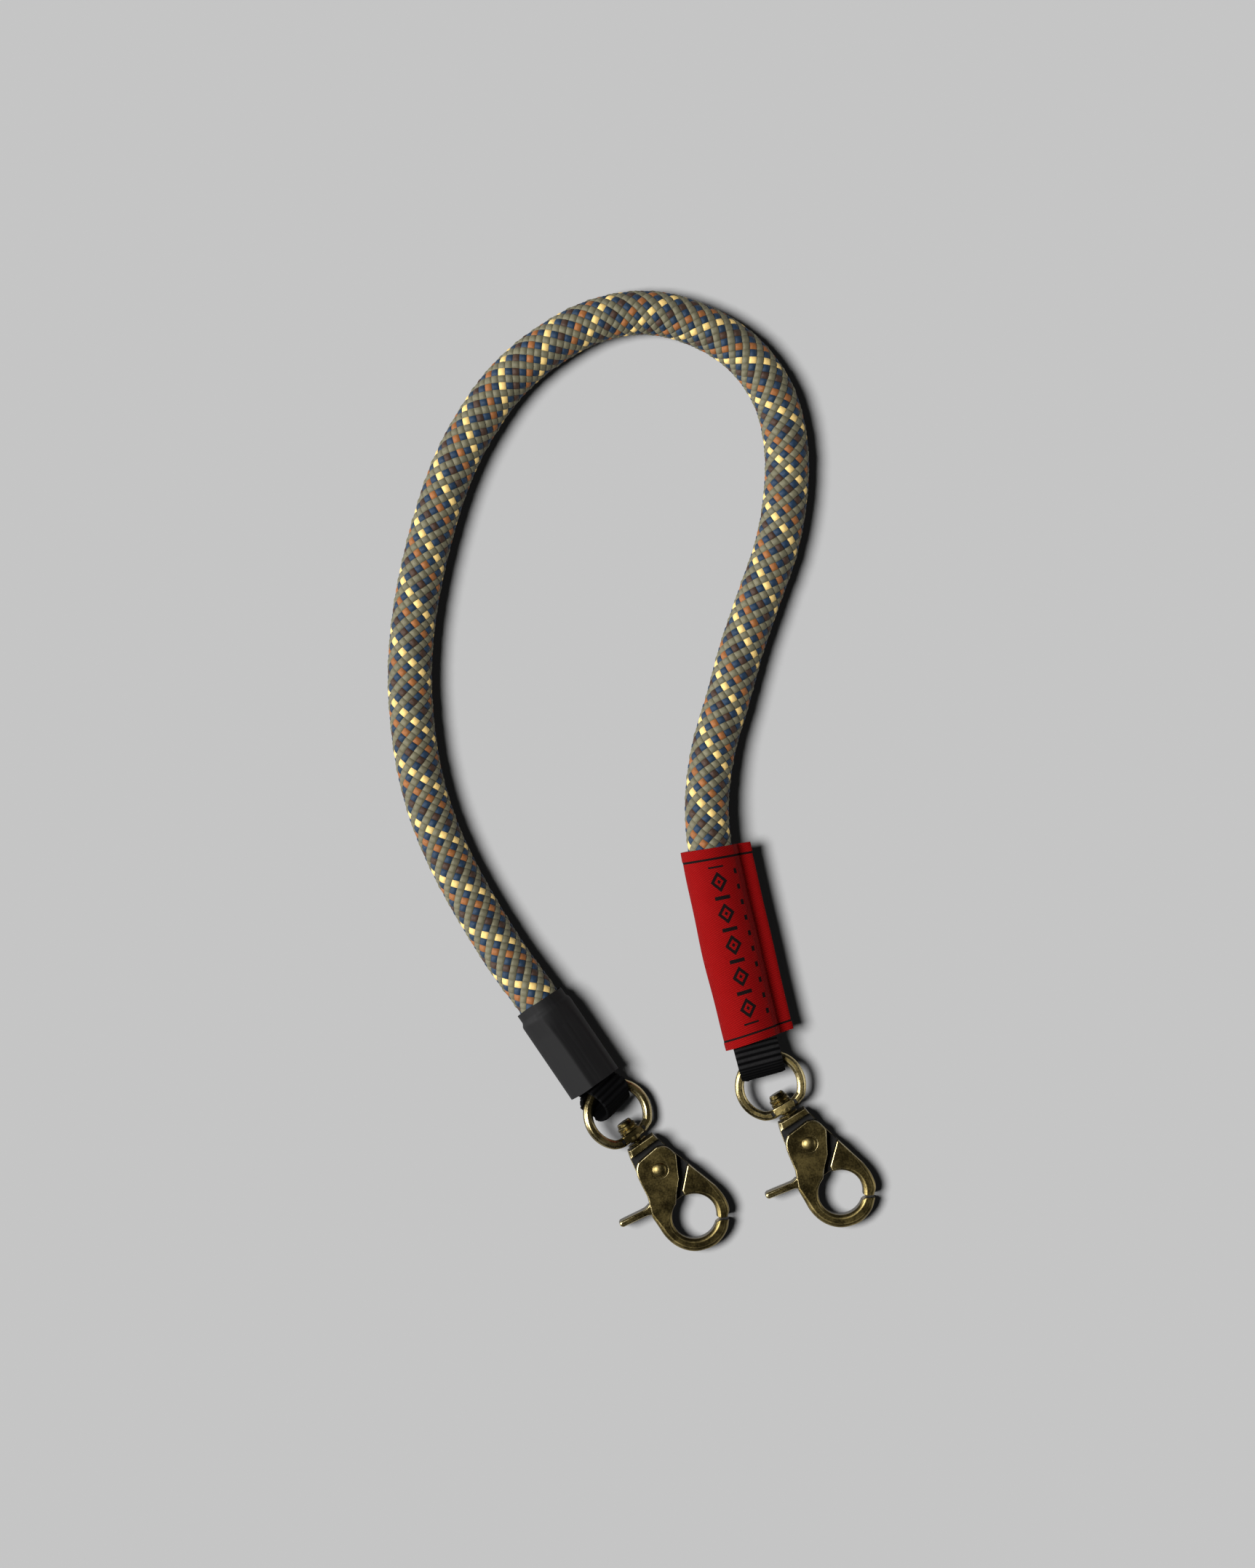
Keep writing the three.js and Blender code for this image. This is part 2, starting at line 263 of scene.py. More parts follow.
class Yarn(Enum):
    """The yarns of the braid, in the order of their numbers on the mesh."""

    OLIVE = (0.148, 0.136, 0.083)
    NAVY = (0.011, 0.032, 0.068)
    CREAM = (0.860, 0.600, 0.210)
    BROWN = (0.052, 0.026, 0.016)
    RUST = (0.285, 0.104, 0.028)


@dataclass(frozen=True)
class BraidFinish:
    """Polyester yarns laid as a braid: filaments along each float, and a soft shine."""

    filaments: float = 9.0
    tone_depth: float = 0.16
    fibre_shades: Pair = (0.93, 1.06)
    shine: Pair = (0.54, 0.74)
    depth: float = 0.000025

    def make(self) -> bpy.types.Material:
        """Builds the material.

        Returns:
            The finished material.
        """
        paint = Paint("braid_yarn", Sheen_Weight=0.03, Sheen_Roughness=0.4, Specular_IOR_Level=0.32)
        along, over = paint.across()
        yarn = paint.mark("yarn")
        colours = list(Yarn)
        ramp = paint.node("ShaderNodeValToRGB", {0: (yarn + 0.5) / len(colours)})
        ramp.color_ramp.interpolation = "CONSTANT"
        for index, colour in enumerate(colours):
            place = index / len(colours)
            stop = ramp.color_ramp.elements[index] if index < 2 else ramp.color_ramp.elements.new(place)
            stop.position = place
            stop.color = (*colour.value, 1.0)
        tone = paint.mark("tone") * self.tone_depth + (1.0 - self.tone_depth / 2)
        fibre = paint.noise(paint.vector(along * 1.2, over * self.filaments, yarn), 1.0, 2.0)
        shade = tone * paint.spread(fibre, (0.3, self.fibre_shades[0]), (0.7, self.fibre_shades[1]))
        paint.colour(paint.mix(1.0, ramp.outputs[0], paint.grey(shade), "MULTIPLY"))
        paint.roughness(paint.spread(fibre, (0.3, self.shine[1]), (0.7, self.shine[0])))
        paint.relief(fibre, self.depth)
        return paint.material


@dataclass(frozen=True)
class CoreFinish:
    """The yarn that shows between the floats, dark as painted shade in those gaps."""

    # dark and light: painted shade for the gaps between the floats, with fibre noise between the two
    dark: Colour = (0.020, 0.020, 0.014)
    light: Colour = (0.055, 0.053, 0.036)
    fibre_scale: float = 2500.0
    depth: float = 0.00005

    def make(self) -> bpy.types.Material:
        """Builds the material.

        Returns:
            The finished material.
        """
        paint = Paint("braid_core", Roughness=0.9)
        fibre = paint.noise(paint.place(), self.fibre_scale)
        paint.colour(paint.mix(fibre, self.dark, self.light))
        paint.relief(fibre, self.depth)
        return paint.material


@dataclass(frozen=True)
class ShrinkFinish:
    """Black shrink tube: satin, faintly streaked along its length, dusty in places."""

    black: Colour = (0.0062, 0.0060, 0.0064)
    dusty: Colour = (0.0090, 0.0088, 0.0090)
    streak_scale: Pair = (0.05, 1.3)
    speck_scale: float = 1400.0
    shine: Pair = (0.62, 0.72)
    depth: float = 0.00003

    def make(self) -> bpy.types.Material:
        """Builds the material.

        Returns:
            The finished material.
        """
        paint = Paint("shrink_tube", Specular_IOR_Level=0.2)
        along, over = paint.across()
        streak = paint.noise(paint.vector(along * self.streak_scale[0], over * self.streak_scale[1]), 1.0)
        speck = paint.noise(paint.place(), self.speck_scale, 4.0)
        paint.colour(paint.mix(paint.spread(streak, (0.35, 0.0), (0.7, 1.0)), self.black, self.dusty))
        paint.roughness(paint.spread(streak, (0.3, self.shine[0]), (0.7, self.shine[1])))
        paint.relief(streak * 0.4 + speck * 0.2, self.depth)
        return paint.material


@dataclass(frozen=True)
class LabelFinish:
    """Red twill with black lines near both hems and a plain woven row of diamonds, bars and dots.

    Fields:
        red, bright, deep: the cloth, a painted highlight on the tops of its threads, and painted shade in
            the gaps between them.
        ink, lit_ink: the black yarn and the painted light on the tops of its threads.
        twill_pitch, twill_slope: the diagonal ribs; bead_pitch: the stitches along each, in pitches.
        line, end_line: where the black lines start and end, from either hem.
        length: how long the label is.
        middle, dots_at: how far the row of diamonds and the row of dots lie from the sewn edge.
        diamond, bar, dot: their lengths and widths; of a bar and a dot, half of each.
        diamond_frame, diamond_eye: the share of a diamond that its outline takes, and its middle.
        first_diamond, diamond_pitch, diamonds: where the row starts, its pitch and its count.
    """

    red: Colour = (0.278, 0.0023, 0.0025)
    bright: Colour = (0.370, 0.0100, 0.0100)
    deep: Colour = (0.140, 0.0012, 0.0013)
    ink: Colour = (0.0045, 0.0030, 0.0032)
    lit_ink: Colour = (0.0150, 0.0080, 0.0080)
    twill_pitch: float = 0.44
    twill_slope: float = 0.72
    bead_pitch: float = 0.62
    depth: float = 0.00010
    line: Pair = (2.15, 2.65)
    end_line: Pair = (1.75, 2.2)
    length: float = 43.6
    middle: float = 12.4
    dots_at: float = 8.0
    diamond: Pair = (4.6, 3.8)
    diamond_frame: Pair = (0.55, 1.0)
    diamond_eye: float = 0.22
    bar: Pair = (0.42, 1.7)
    dot: Pair = (1.15, 0.42)
    first_diamond: float = 7.6
    diamond_pitch: float = 7.1
    diamonds: int = 5

    def make(self) -> bpy.types.Material:
        """Builds the material.

        Returns:
            The finished material.
        """
        paint = Paint("label_twill", Specular_IOR_Level=0.05)
        along, over = paint.across()
        wobble = paint.noise(paint.vector(along, over), 0.9, 2.0) * 0.25
        rib = ((along + over * self.twill_slope) / self.twill_pitch + wobble) * math.tau
        thread = (over - along * self.twill_slope) / (self.twill_pitch * self.bead_pitch) * math.tau
        twill = rib.apply("SINE") * 0.5 + 0.5
        beads = thread.apply("SINE") * 0.5 + 0.5
        weave = twill * (beads * 0.5 + 0.5)
        patch = paint.noise(paint.vector(along * 0.25, over * 0.25), 1.0, 2.0)
        # painted shade in the gaps between threads, then a painted highlight on their tops
        cloth = paint.mix(paint.spread(weave, (0.05, 0.0), (0.55, 1.0)), self.deep, self.red)
        lit = paint.spread(weave * (patch * 0.8 + 0.6), (0.5, 0.0), (1.0, 0.75))
        cloth = paint.mix(lit, cloth, self.bright)
        woven = self._ink(paint, along, over)
        black = paint.mix(weave * 0.8, self.ink, self.lit_ink)
        paint.colour(paint.mix(woven, cloth, black))
        paint.roughness(paint.spread(weave, (0.0, 0.85), (1.0, 0.6)))
        paint.relief(weave, self.depth)
        return paint.material

    def _ink(self, paint: Paint, along: Field, over: Field) -> Field:
        """Where the black yarn shows.

        Args:
            paint: the material under construction.
            along: millimetres from the label's first hem.
            over: millimetres across, from the sewn edge over the top.

        Returns:
            1 where the weave is black and 0 elsewhere.
        """
        from_end = along * -1.0 + self.length
        first = self._between(along, *self.line)
        last = self._between(from_end, *self.end_line)
        pitch = self.diamond_pitch
        step = along - self.first_diamond + pitch / 2
        inside = self._between(step, 0.0, pitch * self.diamonds)
        from_middle = (step % pitch - pitch / 2).apply("ABSOLUTE")
        from_row = (over - self.middle).apply("ABSOLUTE")
        shape = from_middle / (self.diamond[0] / 2) + from_row / (self.diamond[1] / 2)
        diamonds = self._between(shape, *self.diamond_frame) + shape.below(self.diamond_eye)
        from_bar = ((step + pitch / 2) % pitch - pitch / 2).apply("ABSOLUTE")
        bars = from_bar.below(self.bar[0]) * from_row.below(self.bar[1])
        from_dot = ((step * 2.0) % pitch - pitch / 2).apply("ABSOLUTE")
        dots = from_dot.below(self.dot[0]) * (over - self.dots_at).apply("ABSOLUTE").below(self.dot[1])
        motifs = (diamonds + bars + dots) * inside
        return paint.math("MINIMUM", first + last + motifs, 1.0)

    @staticmethod
    def _between(value: Field, low: float, high: float) -> Field:
        """1 where the number lies between the two, and 0 elsewhere."""
        return value.below(high) - value.below(low)


@dataclass(frozen=True)
class WebbingFinish:
    """Black ribbed webbing with painted light on the tops of its ribs, where its threads show.

    Fields:
        whole, insert: the strip's length, and how much of it lies inside the end piece.
        pitches, reach: the coarse ribs' pitch and the fine ones', and how far the coarse ribs go.
        painted_ridge_light, black: painted light on the ridges' tops, and the webbing's own black, which
            the valleys keep.
        thread_scale: how fine the threads are across the strip and along it.
    """

    whole: float
    insert: float
    pitches: Pair
    reach: float
    painted_ridge_light: Colour
    black: Colour = (0.0010, 0.0010, 0.0012)
    thread_scale: Pair = (5.0, 2.2)
    fuzz_scale: float = 1800.0
    depth: float = 0.00008

    def make(self) -> bpy.types.Material:
        """Builds the material.

        Returns:
            The finished material.
        """
        paint = Paint("ribbed_webbing", Roughness=0.8, Specular_IOR_Level=0.05)
        across, along = paint.across()
        at = paint.vector(across * self.thread_scale[0], along * self.thread_scale[1])
        thread = paint.noise(at, 1.0, 2.0)
        fuzz = paint.noise(paint.place(), self.fuzz_scale)
        from_mouth = paint.math("MINIMUM", along, along * -1.0 + self.whole) - self.insert
        waves = ((from_mouth * (math.pi / pitch)).apply("SINE") for pitch in self.pitches)
        coarse, fine = (wave.apply("ABSOLUTE") for wave in waves)
        near = from_mouth.below(self.reach)
        ridge = coarse * near + (fine * 0.5 + 0.1) * (near * -1.0 + 1.0)
        # painted light: the ridges' tops are lit, the valleys stay black
        lit = paint.spread(ridge, (0.35, 0.0), (1.0, 1.0)) * (thread * 0.9 + fuzz * 0.5 + 0.1)
        paint.colour(paint.mix(lit, self.black, self.painted_ridge_light))
        paint.relief(thread * 0.7 + fuzz * 0.3, self.depth)
        return paint.material


@dataclass(frozen=True)
class BrassFinish:
    """Plated metal aged to old brass.

    Fields:
        dark, warm: the patina, and the plating that shows through it.
        shine: roughness where it is rubbed, and where it is dull.
        cloud_scale, grain_scale: how fine the patina's clouds and its grain are.
        depth: how deep the pitting is, in metres.
    """

    name: str
    dark: Colour
    warm: Colour
    shine: Pair
    metallic: float = 1.0
    cloud_scale: float = 230.0
    grain_scale: float = 2600.0
    depth: float = 0.00003

    def make(self) -> bpy.types.Material:
        """Builds the material.

        Returns:
            The finished material.
        """
        paint = Paint(self.name, Metallic=self.metallic)
        place = paint.place()
        cloud = paint.noise(place, self.cloud_scale, 6.0)
        grain = paint.noise(place, self.grain_scale, 4.0)
        share = paint.spread(cloud * 0.75 + grain * 0.25, (0.32, 0.0), (0.68, 1.0))
        paint.colour(paint.mix(share, self.dark, self.warm))
        mottle = grain * 0.5 + cloud * 0.5
        paint.roughness(paint.spread(mottle, (0.35, self.shine[0]), (0.65, self.shine[1])))
        paint.relief(cloud * 0.5 + grain * 0.5, self.depth)
        return paint.material


@dataclass(frozen=True)
class FloorFinish:
    """A plain pale floor."""

    pale: Colour = (0.60, 0.60, 0.60)

    def make(self) -> bpy.types.Material:
        """Builds the material."""
        pale = (*self.pale, 1.0)
        return Paint("floor", Base_Color=pale, Roughness=1.0, Specular_IOR_Level=0.0).material


class Brass(Enum):
    """The states of the hooks' metal, and a painted shade for its hollows, in the order of their material
    slots.
    """

    AGED = BrassFinish("aged_brass", (0.028, 0.021, 0.008), (0.112, 0.085, 0.030), (0.32, 0.44))
    RUBBED = BrassFinish("rubbed_brass", (0.250, 0.195, 0.085), (0.560, 0.470, 0.250), (0.22, 0.34))
    # SHADED is painted shade: near-black brass for the recess floor and for the pockets beside the ring's
    # block, where shade falls.
    SHADED = BrassFinish(
        "painted_shade_brass", (0.008, 0.0075, 0.007), (0.018, 0.017, 0.016), (0.5, 0.65), 0.6
    )
    SATIN = BrassFinish("satin_brass", (0.110, 0.084, 0.032), (0.320, 0.248, 0.098), (0.33, 0.43))

    @property
    def slot(self) -> int:
        """The number of its material slot."""
        return list(Brass).index(self)

    @classmethod
    def metals(cls) -> list[bpy.types.Material]:
        """The materials, made once."""
        return [bpy.data.materials.get(state.value.name) or state.value.make() for state in cls]


# ------------------------ lines and outlines


def unit(value: float) -> float:
    """The number held between 0 and 1."""
    return min(1.0, max(0.0, value))


def smooth_line(points: Sequence[Sequence[float]], per_span: int) -> list[Vector]:
    """A centripetal curve through the points.

    Args:
        points: two or more points, flat or in space.
        per_span: how many steps lie between two of them.

    Returns:
        Points along the curve, both ends included.
    """
    knots = [Vector(point) for point in points]
    knots = [2 * knots[0] - knots[1], *knots, 2 * knots[-1] - knots[-2]]
    line = []
    for p0, p1, p2, p3 in zip(knots, knots[1:], knots[2:], knots[3:]):
        t1 = (p1 - p0).length ** 0.5
        t2 = t1 + (p2 - p1).length ** 0.5
        t3 = t2 + (p3 - p2).length ** 0.5
        for step in range(per_span):
            t = t1 + (t2 - t1) * step / per_span
            a1 = p0.lerp(p1, t / t1)
            a2 = p1.lerp(p2, (t - t1) / (t2 - t1))
            a3 = p2.lerp(p3, (t - t2) / (t3 - t2))
            b1 = a1.lerp(a2, t / t2)
            b2 = a2.lerp(a3, (t - t1) / (t3 - t1))
            line.append(b1.lerp(b2, (t - t1) / (t2 - t1)))
    return [*line, knots[-2]]


def bezier(ends: Sequence[Sequence[float]], steps: int) -> list[Vector]:
    """A cubic curve.

    Args:
        ends: its four control points, flat or in space.
        steps: how many steps it takes.

    Returns:
        Points along the curve, both ends included.
    """
    a, b, c, d = (Vector(point) for point in ends)
    line = []
    for step in range(steps + 1):
        t = step / steps
        ab, bc, cd = a.lerp(b, t), b.lerp(c, t), c.lerp(d, t)
        line.append(ab.lerp(bc, t).lerp(bc.lerp(cd, t), t))
    return line


def line_length(line: Sequence[Vector]) -> float:
    """How long a line of points is."""
    return sum((b - a).length for a, b in zip(line, line[1:]))


def even_line(line: Sequence[Vector], count: int) -> list[Vector]:
    """The same line in even steps.

    Args:
        line: its points.
        count: how many points are wanted.

    Returns:
        That many points, evenly spaced.
    """
    gap = line_length(line) / (count - 1)
    spaced = [line[0].copy()]
    due = gap
    passed = 0.0
    for a, b in zip(line, line[1:]):
        span = (b - a).length
        while passed + span >= due - 1e-9 and len(spaced) < count - 1:
            spaced.append(a.lerp(b, (due - passed) / span))
            due += gap
        passed += span
    return [*spaced, line[-1].copy()]


class Outline:
    """A flat closed outline, drawn with corners, arcs and curves."""

    def __init__(self, *corners: Pair) -> None:
        """Starts with those corners."""
        self.points: list[Pair] = list(corners)

    def to(self, *corners: Pair) -> "Outline":
        """Goes on straight to each corner."""
        self.points.extend(corners)
        return self

    def arc(self, centre: Pair, radius: float, start: float, end: float) -> "Outline":
        """Goes round part of a circle.

        Args:
            centre: its middle.
            radius: its radius.
            start: the first angle in degrees.
            end: the last angle.

        Returns:
            This outline.
        """
        steps = max(2, math.ceil(abs(end - start) / 5.0))
        for step in range(steps + 1):
            turn = math.radians(start + (end - start) * step / steps)
            self.points.append((centre[0] + radius * math.cos(turn), centre[1] + radius * math.sin(turn)))
        return self

    def curve(self, *through: Pair) -> "Outline":
        """Goes on in one smooth curve.

        Args:
            through: the points that it passes.

        Returns:
            This outline.
        """
        line = smooth_line([self.points[-1], *through], 4)
        self.points.extend((point[0], point[1]) for point in line[1:])
        return self


@dataclass(frozen=True)
class Placement:
    """Where a piece's own frame lies: +X along the piece, +Z up; its turns are in degrees."""

    origin: Point
    yaw: float
    pitch: float = 0.0
    roll: float = 0.0

    def matrix(self) -> Matrix:
        """The frame as a matrix.

        Returns:
            The way from the piece's own frame to the strap's.
        """
        turn = Matrix.Rotation(math.radians(self.yaw), 4, "Z")
        turn = turn @ Matrix.Rotation(math.radians(self.pitch), 4, "Y")
        turn = turn @ Matrix.Rotation(math.radians(self.roll), 4, "X")
        return Matrix.Translation(self.origin) @ turn


# ------------------------ meshes


def show(name: str, mesh: bpy.types.Mesh) -> bpy.types.Object:
    """Puts a mesh into the scene.

    Args:
        name: what the object and its mesh are called.
        mesh: the mesh.

    Returns:
        The object, at the origin.
    """
    mesh.name = name
    made = bpy.data.objects.new(name, mesh)
    bpy.context.scene.collection.objects.link(made)
    return made


def settled(carrier: bpy.types.Object) -> bpy.types.Mesh:
    """A plain mesh of an object with its modifiers applied."""
    seen = bpy.context.evaluated_depsgraph_get()
    return bpy.data.meshes.new_from_object(carrier.evaluated_get(seen), depsgraph=seen)


def place_mesh(mesh: bpy.types.Mesh, matrix: Matrix) -> None:
    """Moves a mesh of millimetres to its place, in metres."""
    mesh.transform(Matrix.Scale(MM, 4) @ matrix)


class Skin:
    """Grids of points that become one mesh, with a UV map in millimetres."""

    def __init__(self) -> None:
        """Starts empty."""
        self.points: list[Vector] = []
        self.faces: list[list[int]] = []
        self.marks: list[list[Pair]] = []

    def grid(
        self, rows: Sequence[Sequence[Vector]], marks: Sequence[Sequence[Pair]], round_by: float = 0.0
    ) -> list[list[int]]:
        """Adds a grid of quads.

        Args:
            rows: the points, row after row.
            marks: a UV for each point.
            round_by: where the rows close on themselves, how much the second UV grows in one round.

        Returns:
            The numbers of the points, row after row.
        """
        start = len(self.points)
        width = len(rows[0])
        for row in rows:
            self.points.extend(row)
        numbers = [[start + r * width + c for c in range(width)] for r in range(len(rows))]
        for r in range(len(rows) - 1):
            for c in range(width if round_by else width - 1):
                after = (c + 1) % width
                extra = round_by if after == 0 else 0.0
                corners = ((r, c, 0.0), (r + 1, c, 0.0), (r + 1, after, extra), (r, after, extra))
                self.faces.append([numbers[row][column] for row, column, _ in corners])
                self.marks.append([(marks[row][column][0], marks[row][column][1] + more)
                                   for row, column, more in corners])
        return numbers

    def bridge(self, first: Sequence[int], second: Sequence[int], mark: Pair) -> None:
        """Joins two rings with a band of quads.

        Args:
            first: the numbers of a ring's points.
            second: those of a ring of as many.
            mark: the band's place on the UV map.
        """
        for c in range(len(first)):
            after = (c + 1) % len(first)
            self.faces.append([first[c], second[c], second[after], first[after]])
            self.marks.append([mark] * 4)

    def cap(self, ring: Sequence[int]) -> None:
        """Closes a ring with one face."""
        self.faces.append(list(ring))
        self.marks.append([(0.0, 0.0)] * len(ring))

    def mesh(self, name: str) -> bpy.types.Mesh:
        """Makes the mesh, with doubles merged and its faces pointing out.

        Args:
            name: the mesh's name.

        Returns:
            The mesh, in millimetres.
        """
        mesh = bpy.data.meshes.new(name)
        mesh.from_pydata([tuple(point) for point in self.points], [], self.faces)
        layer = mesh.uv_layers.new(name="UVMap")
        flat = [number for face in self.marks for pair in face for number in pair]
        layer.data.foreach_set("uv", flat)
        work = bmesh.new()
        work.from_mesh(mesh)
        bmesh.ops.remove_doubles(work, verts=work.verts, dist=WELD)
        bmesh.ops.recalc_face_normals(work, faces=work.faces)
        work.to_mesh(mesh)
        work.free()
        mesh.shade_smooth()
        return mesh

    def piece(
        self, name: str, sharp: float, placement: Placement, finish: bpy.types.Material
    ) -> bpy.types.Object:
        """Makes a piece of one finish.

        Args:
            name: the piece's name.
            sharp: the angle in degrees past which an edge stays sharp.
            placement: where its frame lies.
            finish: its material.

        Returns:
            The object, with its place in its mesh.
        """
        mesh = self.mesh(name)
        mesh.set_sharp_from_angle(angle=math.radians(sharp))
        place_mesh(mesh, placement.matrix())
        mesh.materials.append(finish)
        return show(name, mesh)


def turned(name: str, profile: Sequence[Pair], sides: int = 48) -> bpy.types.Mesh:
    """A turned body about +X.

    Args:
        name: the mesh's name.
        profile: distance along X and radius, from one end to the other.
        sides: facets round it.

    Returns:
        The closed mesh, in millimetres.
    """
    skin = Skin()
    rows = []
    for along, radius in profile:
        turns = (math.tau * side / sides for side in range(sides))
        rows.append([Vector((along, radius * math.cos(turn), radius * math.sin(turn))) for turn in turns])
    marks = [[(row[0].x, 0.0)] * sides for row in rows]
    numbers = skin.grid(rows, marks, round_by=math.tau)
    if profile[0] == profile[-1]:
        return skin.mesh(name)
    for ring, (_, radius) in ((numbers[0], profile[0]), (numbers[-1], profile[-1])):
        if radius > 0:
            skin.cap(ring)
    return skin.mesh(name)


def prism(name: str, outline: Sequence[Pair], low: float, high: float) -> bpy.types.Mesh:
    """A slab of a flat outline.

    Args:
        name: the mesh's name.
        outline: its corners; those closer than a micrometre become one.
        low: the lower height.
        high: the upper height.

    Returns:
        The closed mesh, in millimetres.
    """
    mesh = bpy.data.meshes.new(name)
    work = bmesh.new()
    base = [work.verts.new((u, v, low)) for u, v in outline]
    face = work.faces.new(base)
    lifted = bmesh.ops.extrude_face_region(work, geom=[face])
    top = [item for item in lifted["geom"] if isinstance(item, bmesh.types.BMVert)]
    bmesh.ops.translate(work, verts=top, vec=(0.0, 0.0, high - low))
    bmesh.ops.remove_doubles(work, verts=work.verts, dist=1e-3)
    bmesh.ops.recalc_face_normals(work, faces=work.faces)
    work.to_mesh(mesh)
    work.free()
    return mesh


def upright(name: str, radius: float, low: float, high: float, sides: int = 48) -> bpy.types.Mesh:
    """A cylinder about Z."""
    ring = Outline().arc((0.0, 0.0), radius, 0.0, 360.0 - 360.0 / sides)
    return prism(name, ring.points, low, high)


class Casting:
    """A metal body in its own frame of millimetres, joined and cut before its edges are rounded."""

    weld = 0.03
    flat_angle = math.radians(0.5)
    edge_angle = math.radians(32.0)
    crease = math.radians(40.0)

    def __init__(self, mesh: bpy.types.Mesh, metals: Sequence[bpy.types.Material]) -> None:
        """Starts from one body.

        Args:
            mesh: the closed body.
            metals: its material slots.
        """
        for metal in metals:
            mesh.materials.append(metal)
        self.metals = metals
        self.carrier = show("casting", mesh)

    def _apply(self) -> None:
        """Applies the carrier's modifiers."""
        mesh = settled(self.carrier)
        self.carrier.modifiers.clear()
        self.carrier.data = mesh

    def _merge(self, other: bpy.types.Mesh, operation: str) -> "Casting":
        """Joins or cuts with another body.

        Args:
            other: the closed body.
            operation: UNION or DIFFERENCE.

        Returns:
            This body.
        """
        tool = Casting(other, self.metals)
        modifier = self.carrier.modifiers.new("merge", "BOOLEAN")
        modifier.operation = operation
        modifier.solver = "EXACT"
        modifier.object = tool.carrier
        self._apply()
        bpy.data.objects.remove(tool.carrier)
        return self

    def add(self, other: bpy.types.Mesh) -> "Casting":
        """Joins another body to this one."""
        return self._merge(other, "UNION")

    def cut(self, other: bpy.types.Mesh) -> "Casting":
        """Cuts another body's room out of this one."""
        return self._merge(other, "DIFFERENCE")

    def paint_faces(self, metal: Brass, chosen: Callable[[bpy.types.MeshPolygon], bool]) -> "Casting":
        """Gives faces another metal.

        Args:
            metal: the metal.
            chosen: which faces get it.

        Returns:
            This body.
        """
        for face in self.carrier.data.polygons:
            if chosen(face):
                face.material_index = metal.slot
        return self

    def round_edges(self, width: Callable[[Vector], float], most: float, segments: int = 3) -> "Casting":
        """Rounds the edges that turn sharply.

        Args:
            width: the width of the rounding at a place, in millimetres.
            most: the largest width.
            segments: facets across it.

        Returns:
            This body.
        """
        mesh = self.carrier.data
        work = bmesh.new()
        work.from_mesh(mesh)
        bmesh.ops.remove_doubles(work, verts=work.verts, dist=self.weld)
        bmesh.ops.dissolve_limit(
            work, angle_limit=self.flat_angle, verts=work.verts, edges=work.edges, delimit={"MATERIAL"}
        )
        weight = work.edges.layers.float.new("bevel_weight_edge")
        for edge in work.edges:
            if len(edge.link_faces) == 2 and edge.is_convex and edge.calc_face_angle() > self.edge_angle:
                middle = (edge.verts[0].co + edge.verts[1].co) / 2
                edge[weight] = min(1.0, width(middle) / most)
        work.to_mesh(mesh)
        work.free()
        bevel = self.carrier.modifiers.new("round", "BEVEL")
        bevel.limit_method = "WEIGHT"
        bevel.width = most
        bevel.segments = segments
        bevel.profile = 0.5
        bevel.material = Brass.RUBBED.slot
        bevel.use_clamp_overlap = False
        self._apply()
        return self

    def finish(self) -> bpy.types.Mesh:
        """Ends the work and drops the carrier.

        Returns:
            The mesh, still in millimetres.
        """
        mesh = self.carrier.data
        bpy.data.objects.remove(self.carrier)
        return mesh


def cast_piece(
    name: str, meshes: Sequence[bpy.types.Mesh], matrix: Matrix, metals: Sequence[bpy.types.Material]
) -> bpy.types.Object:
    """Joins meshes of millimetres into one piece at its place.

    Args:
        name: the piece's name.
        meshes: closed bodies that share their material slots.
        matrix: where their frame lies.
        metals: the materials of the slots.

    Returns:
        The finished object, its flat faces shaded flat and its rounded edges smooth.
    """
    work = bmesh.new()
    for mesh in meshes:
        work.from_mesh(mesh)
    whole = bpy.data.meshes.new(name)
    work.to_mesh(whole)
    work.free()
    for metal in metals:
        whole.materials.append(metal)
    place_mesh(whole, matrix)
    whole.shade_smooth()
    whole.set_sharp_from_angle(angle=Casting.crease)
    piece = show(name, whole)
    piece.modifiers.new("level_faces", "WEIGHTED_NORMAL").keep_sharp = True
    mesh = settled(piece)
    piece.modifiers.clear()
    piece.data = mesh
    return piece


# ------------------------ studio


@dataclass(frozen=True)
class Sun:
    """A broad far light: its height, heading and width in degrees, and its strength."""

    name: str
    elevation: float
    heading: float
    spread: float
    strength: float
    spares_floor: bool = False

    def shine(self, floor: bpy.types.Collection) -> None:
        """Puts the light up.

        Args:
            floor: what a light that spares the floor is kept off.
        """
        data = bpy.data.lights.new(self.name, "SUN")
        data.energy = self.strength
        data.angle = math.radians(self.spread)
        lamp = bpy.data.objects.new(self.name, data)
        tilt = Matrix.Rotation(math.radians(90.0 - self.elevation), 4, "X")
        lamp.matrix_world = Matrix.Rotation(math.radians(self.heading + 90.0), 4, "Z") @ tilt
        bpy.context.scene.collection.objects.link(lamp)
        if self.spares_floor:
            lamp.light_linking.receiver_collection = floor


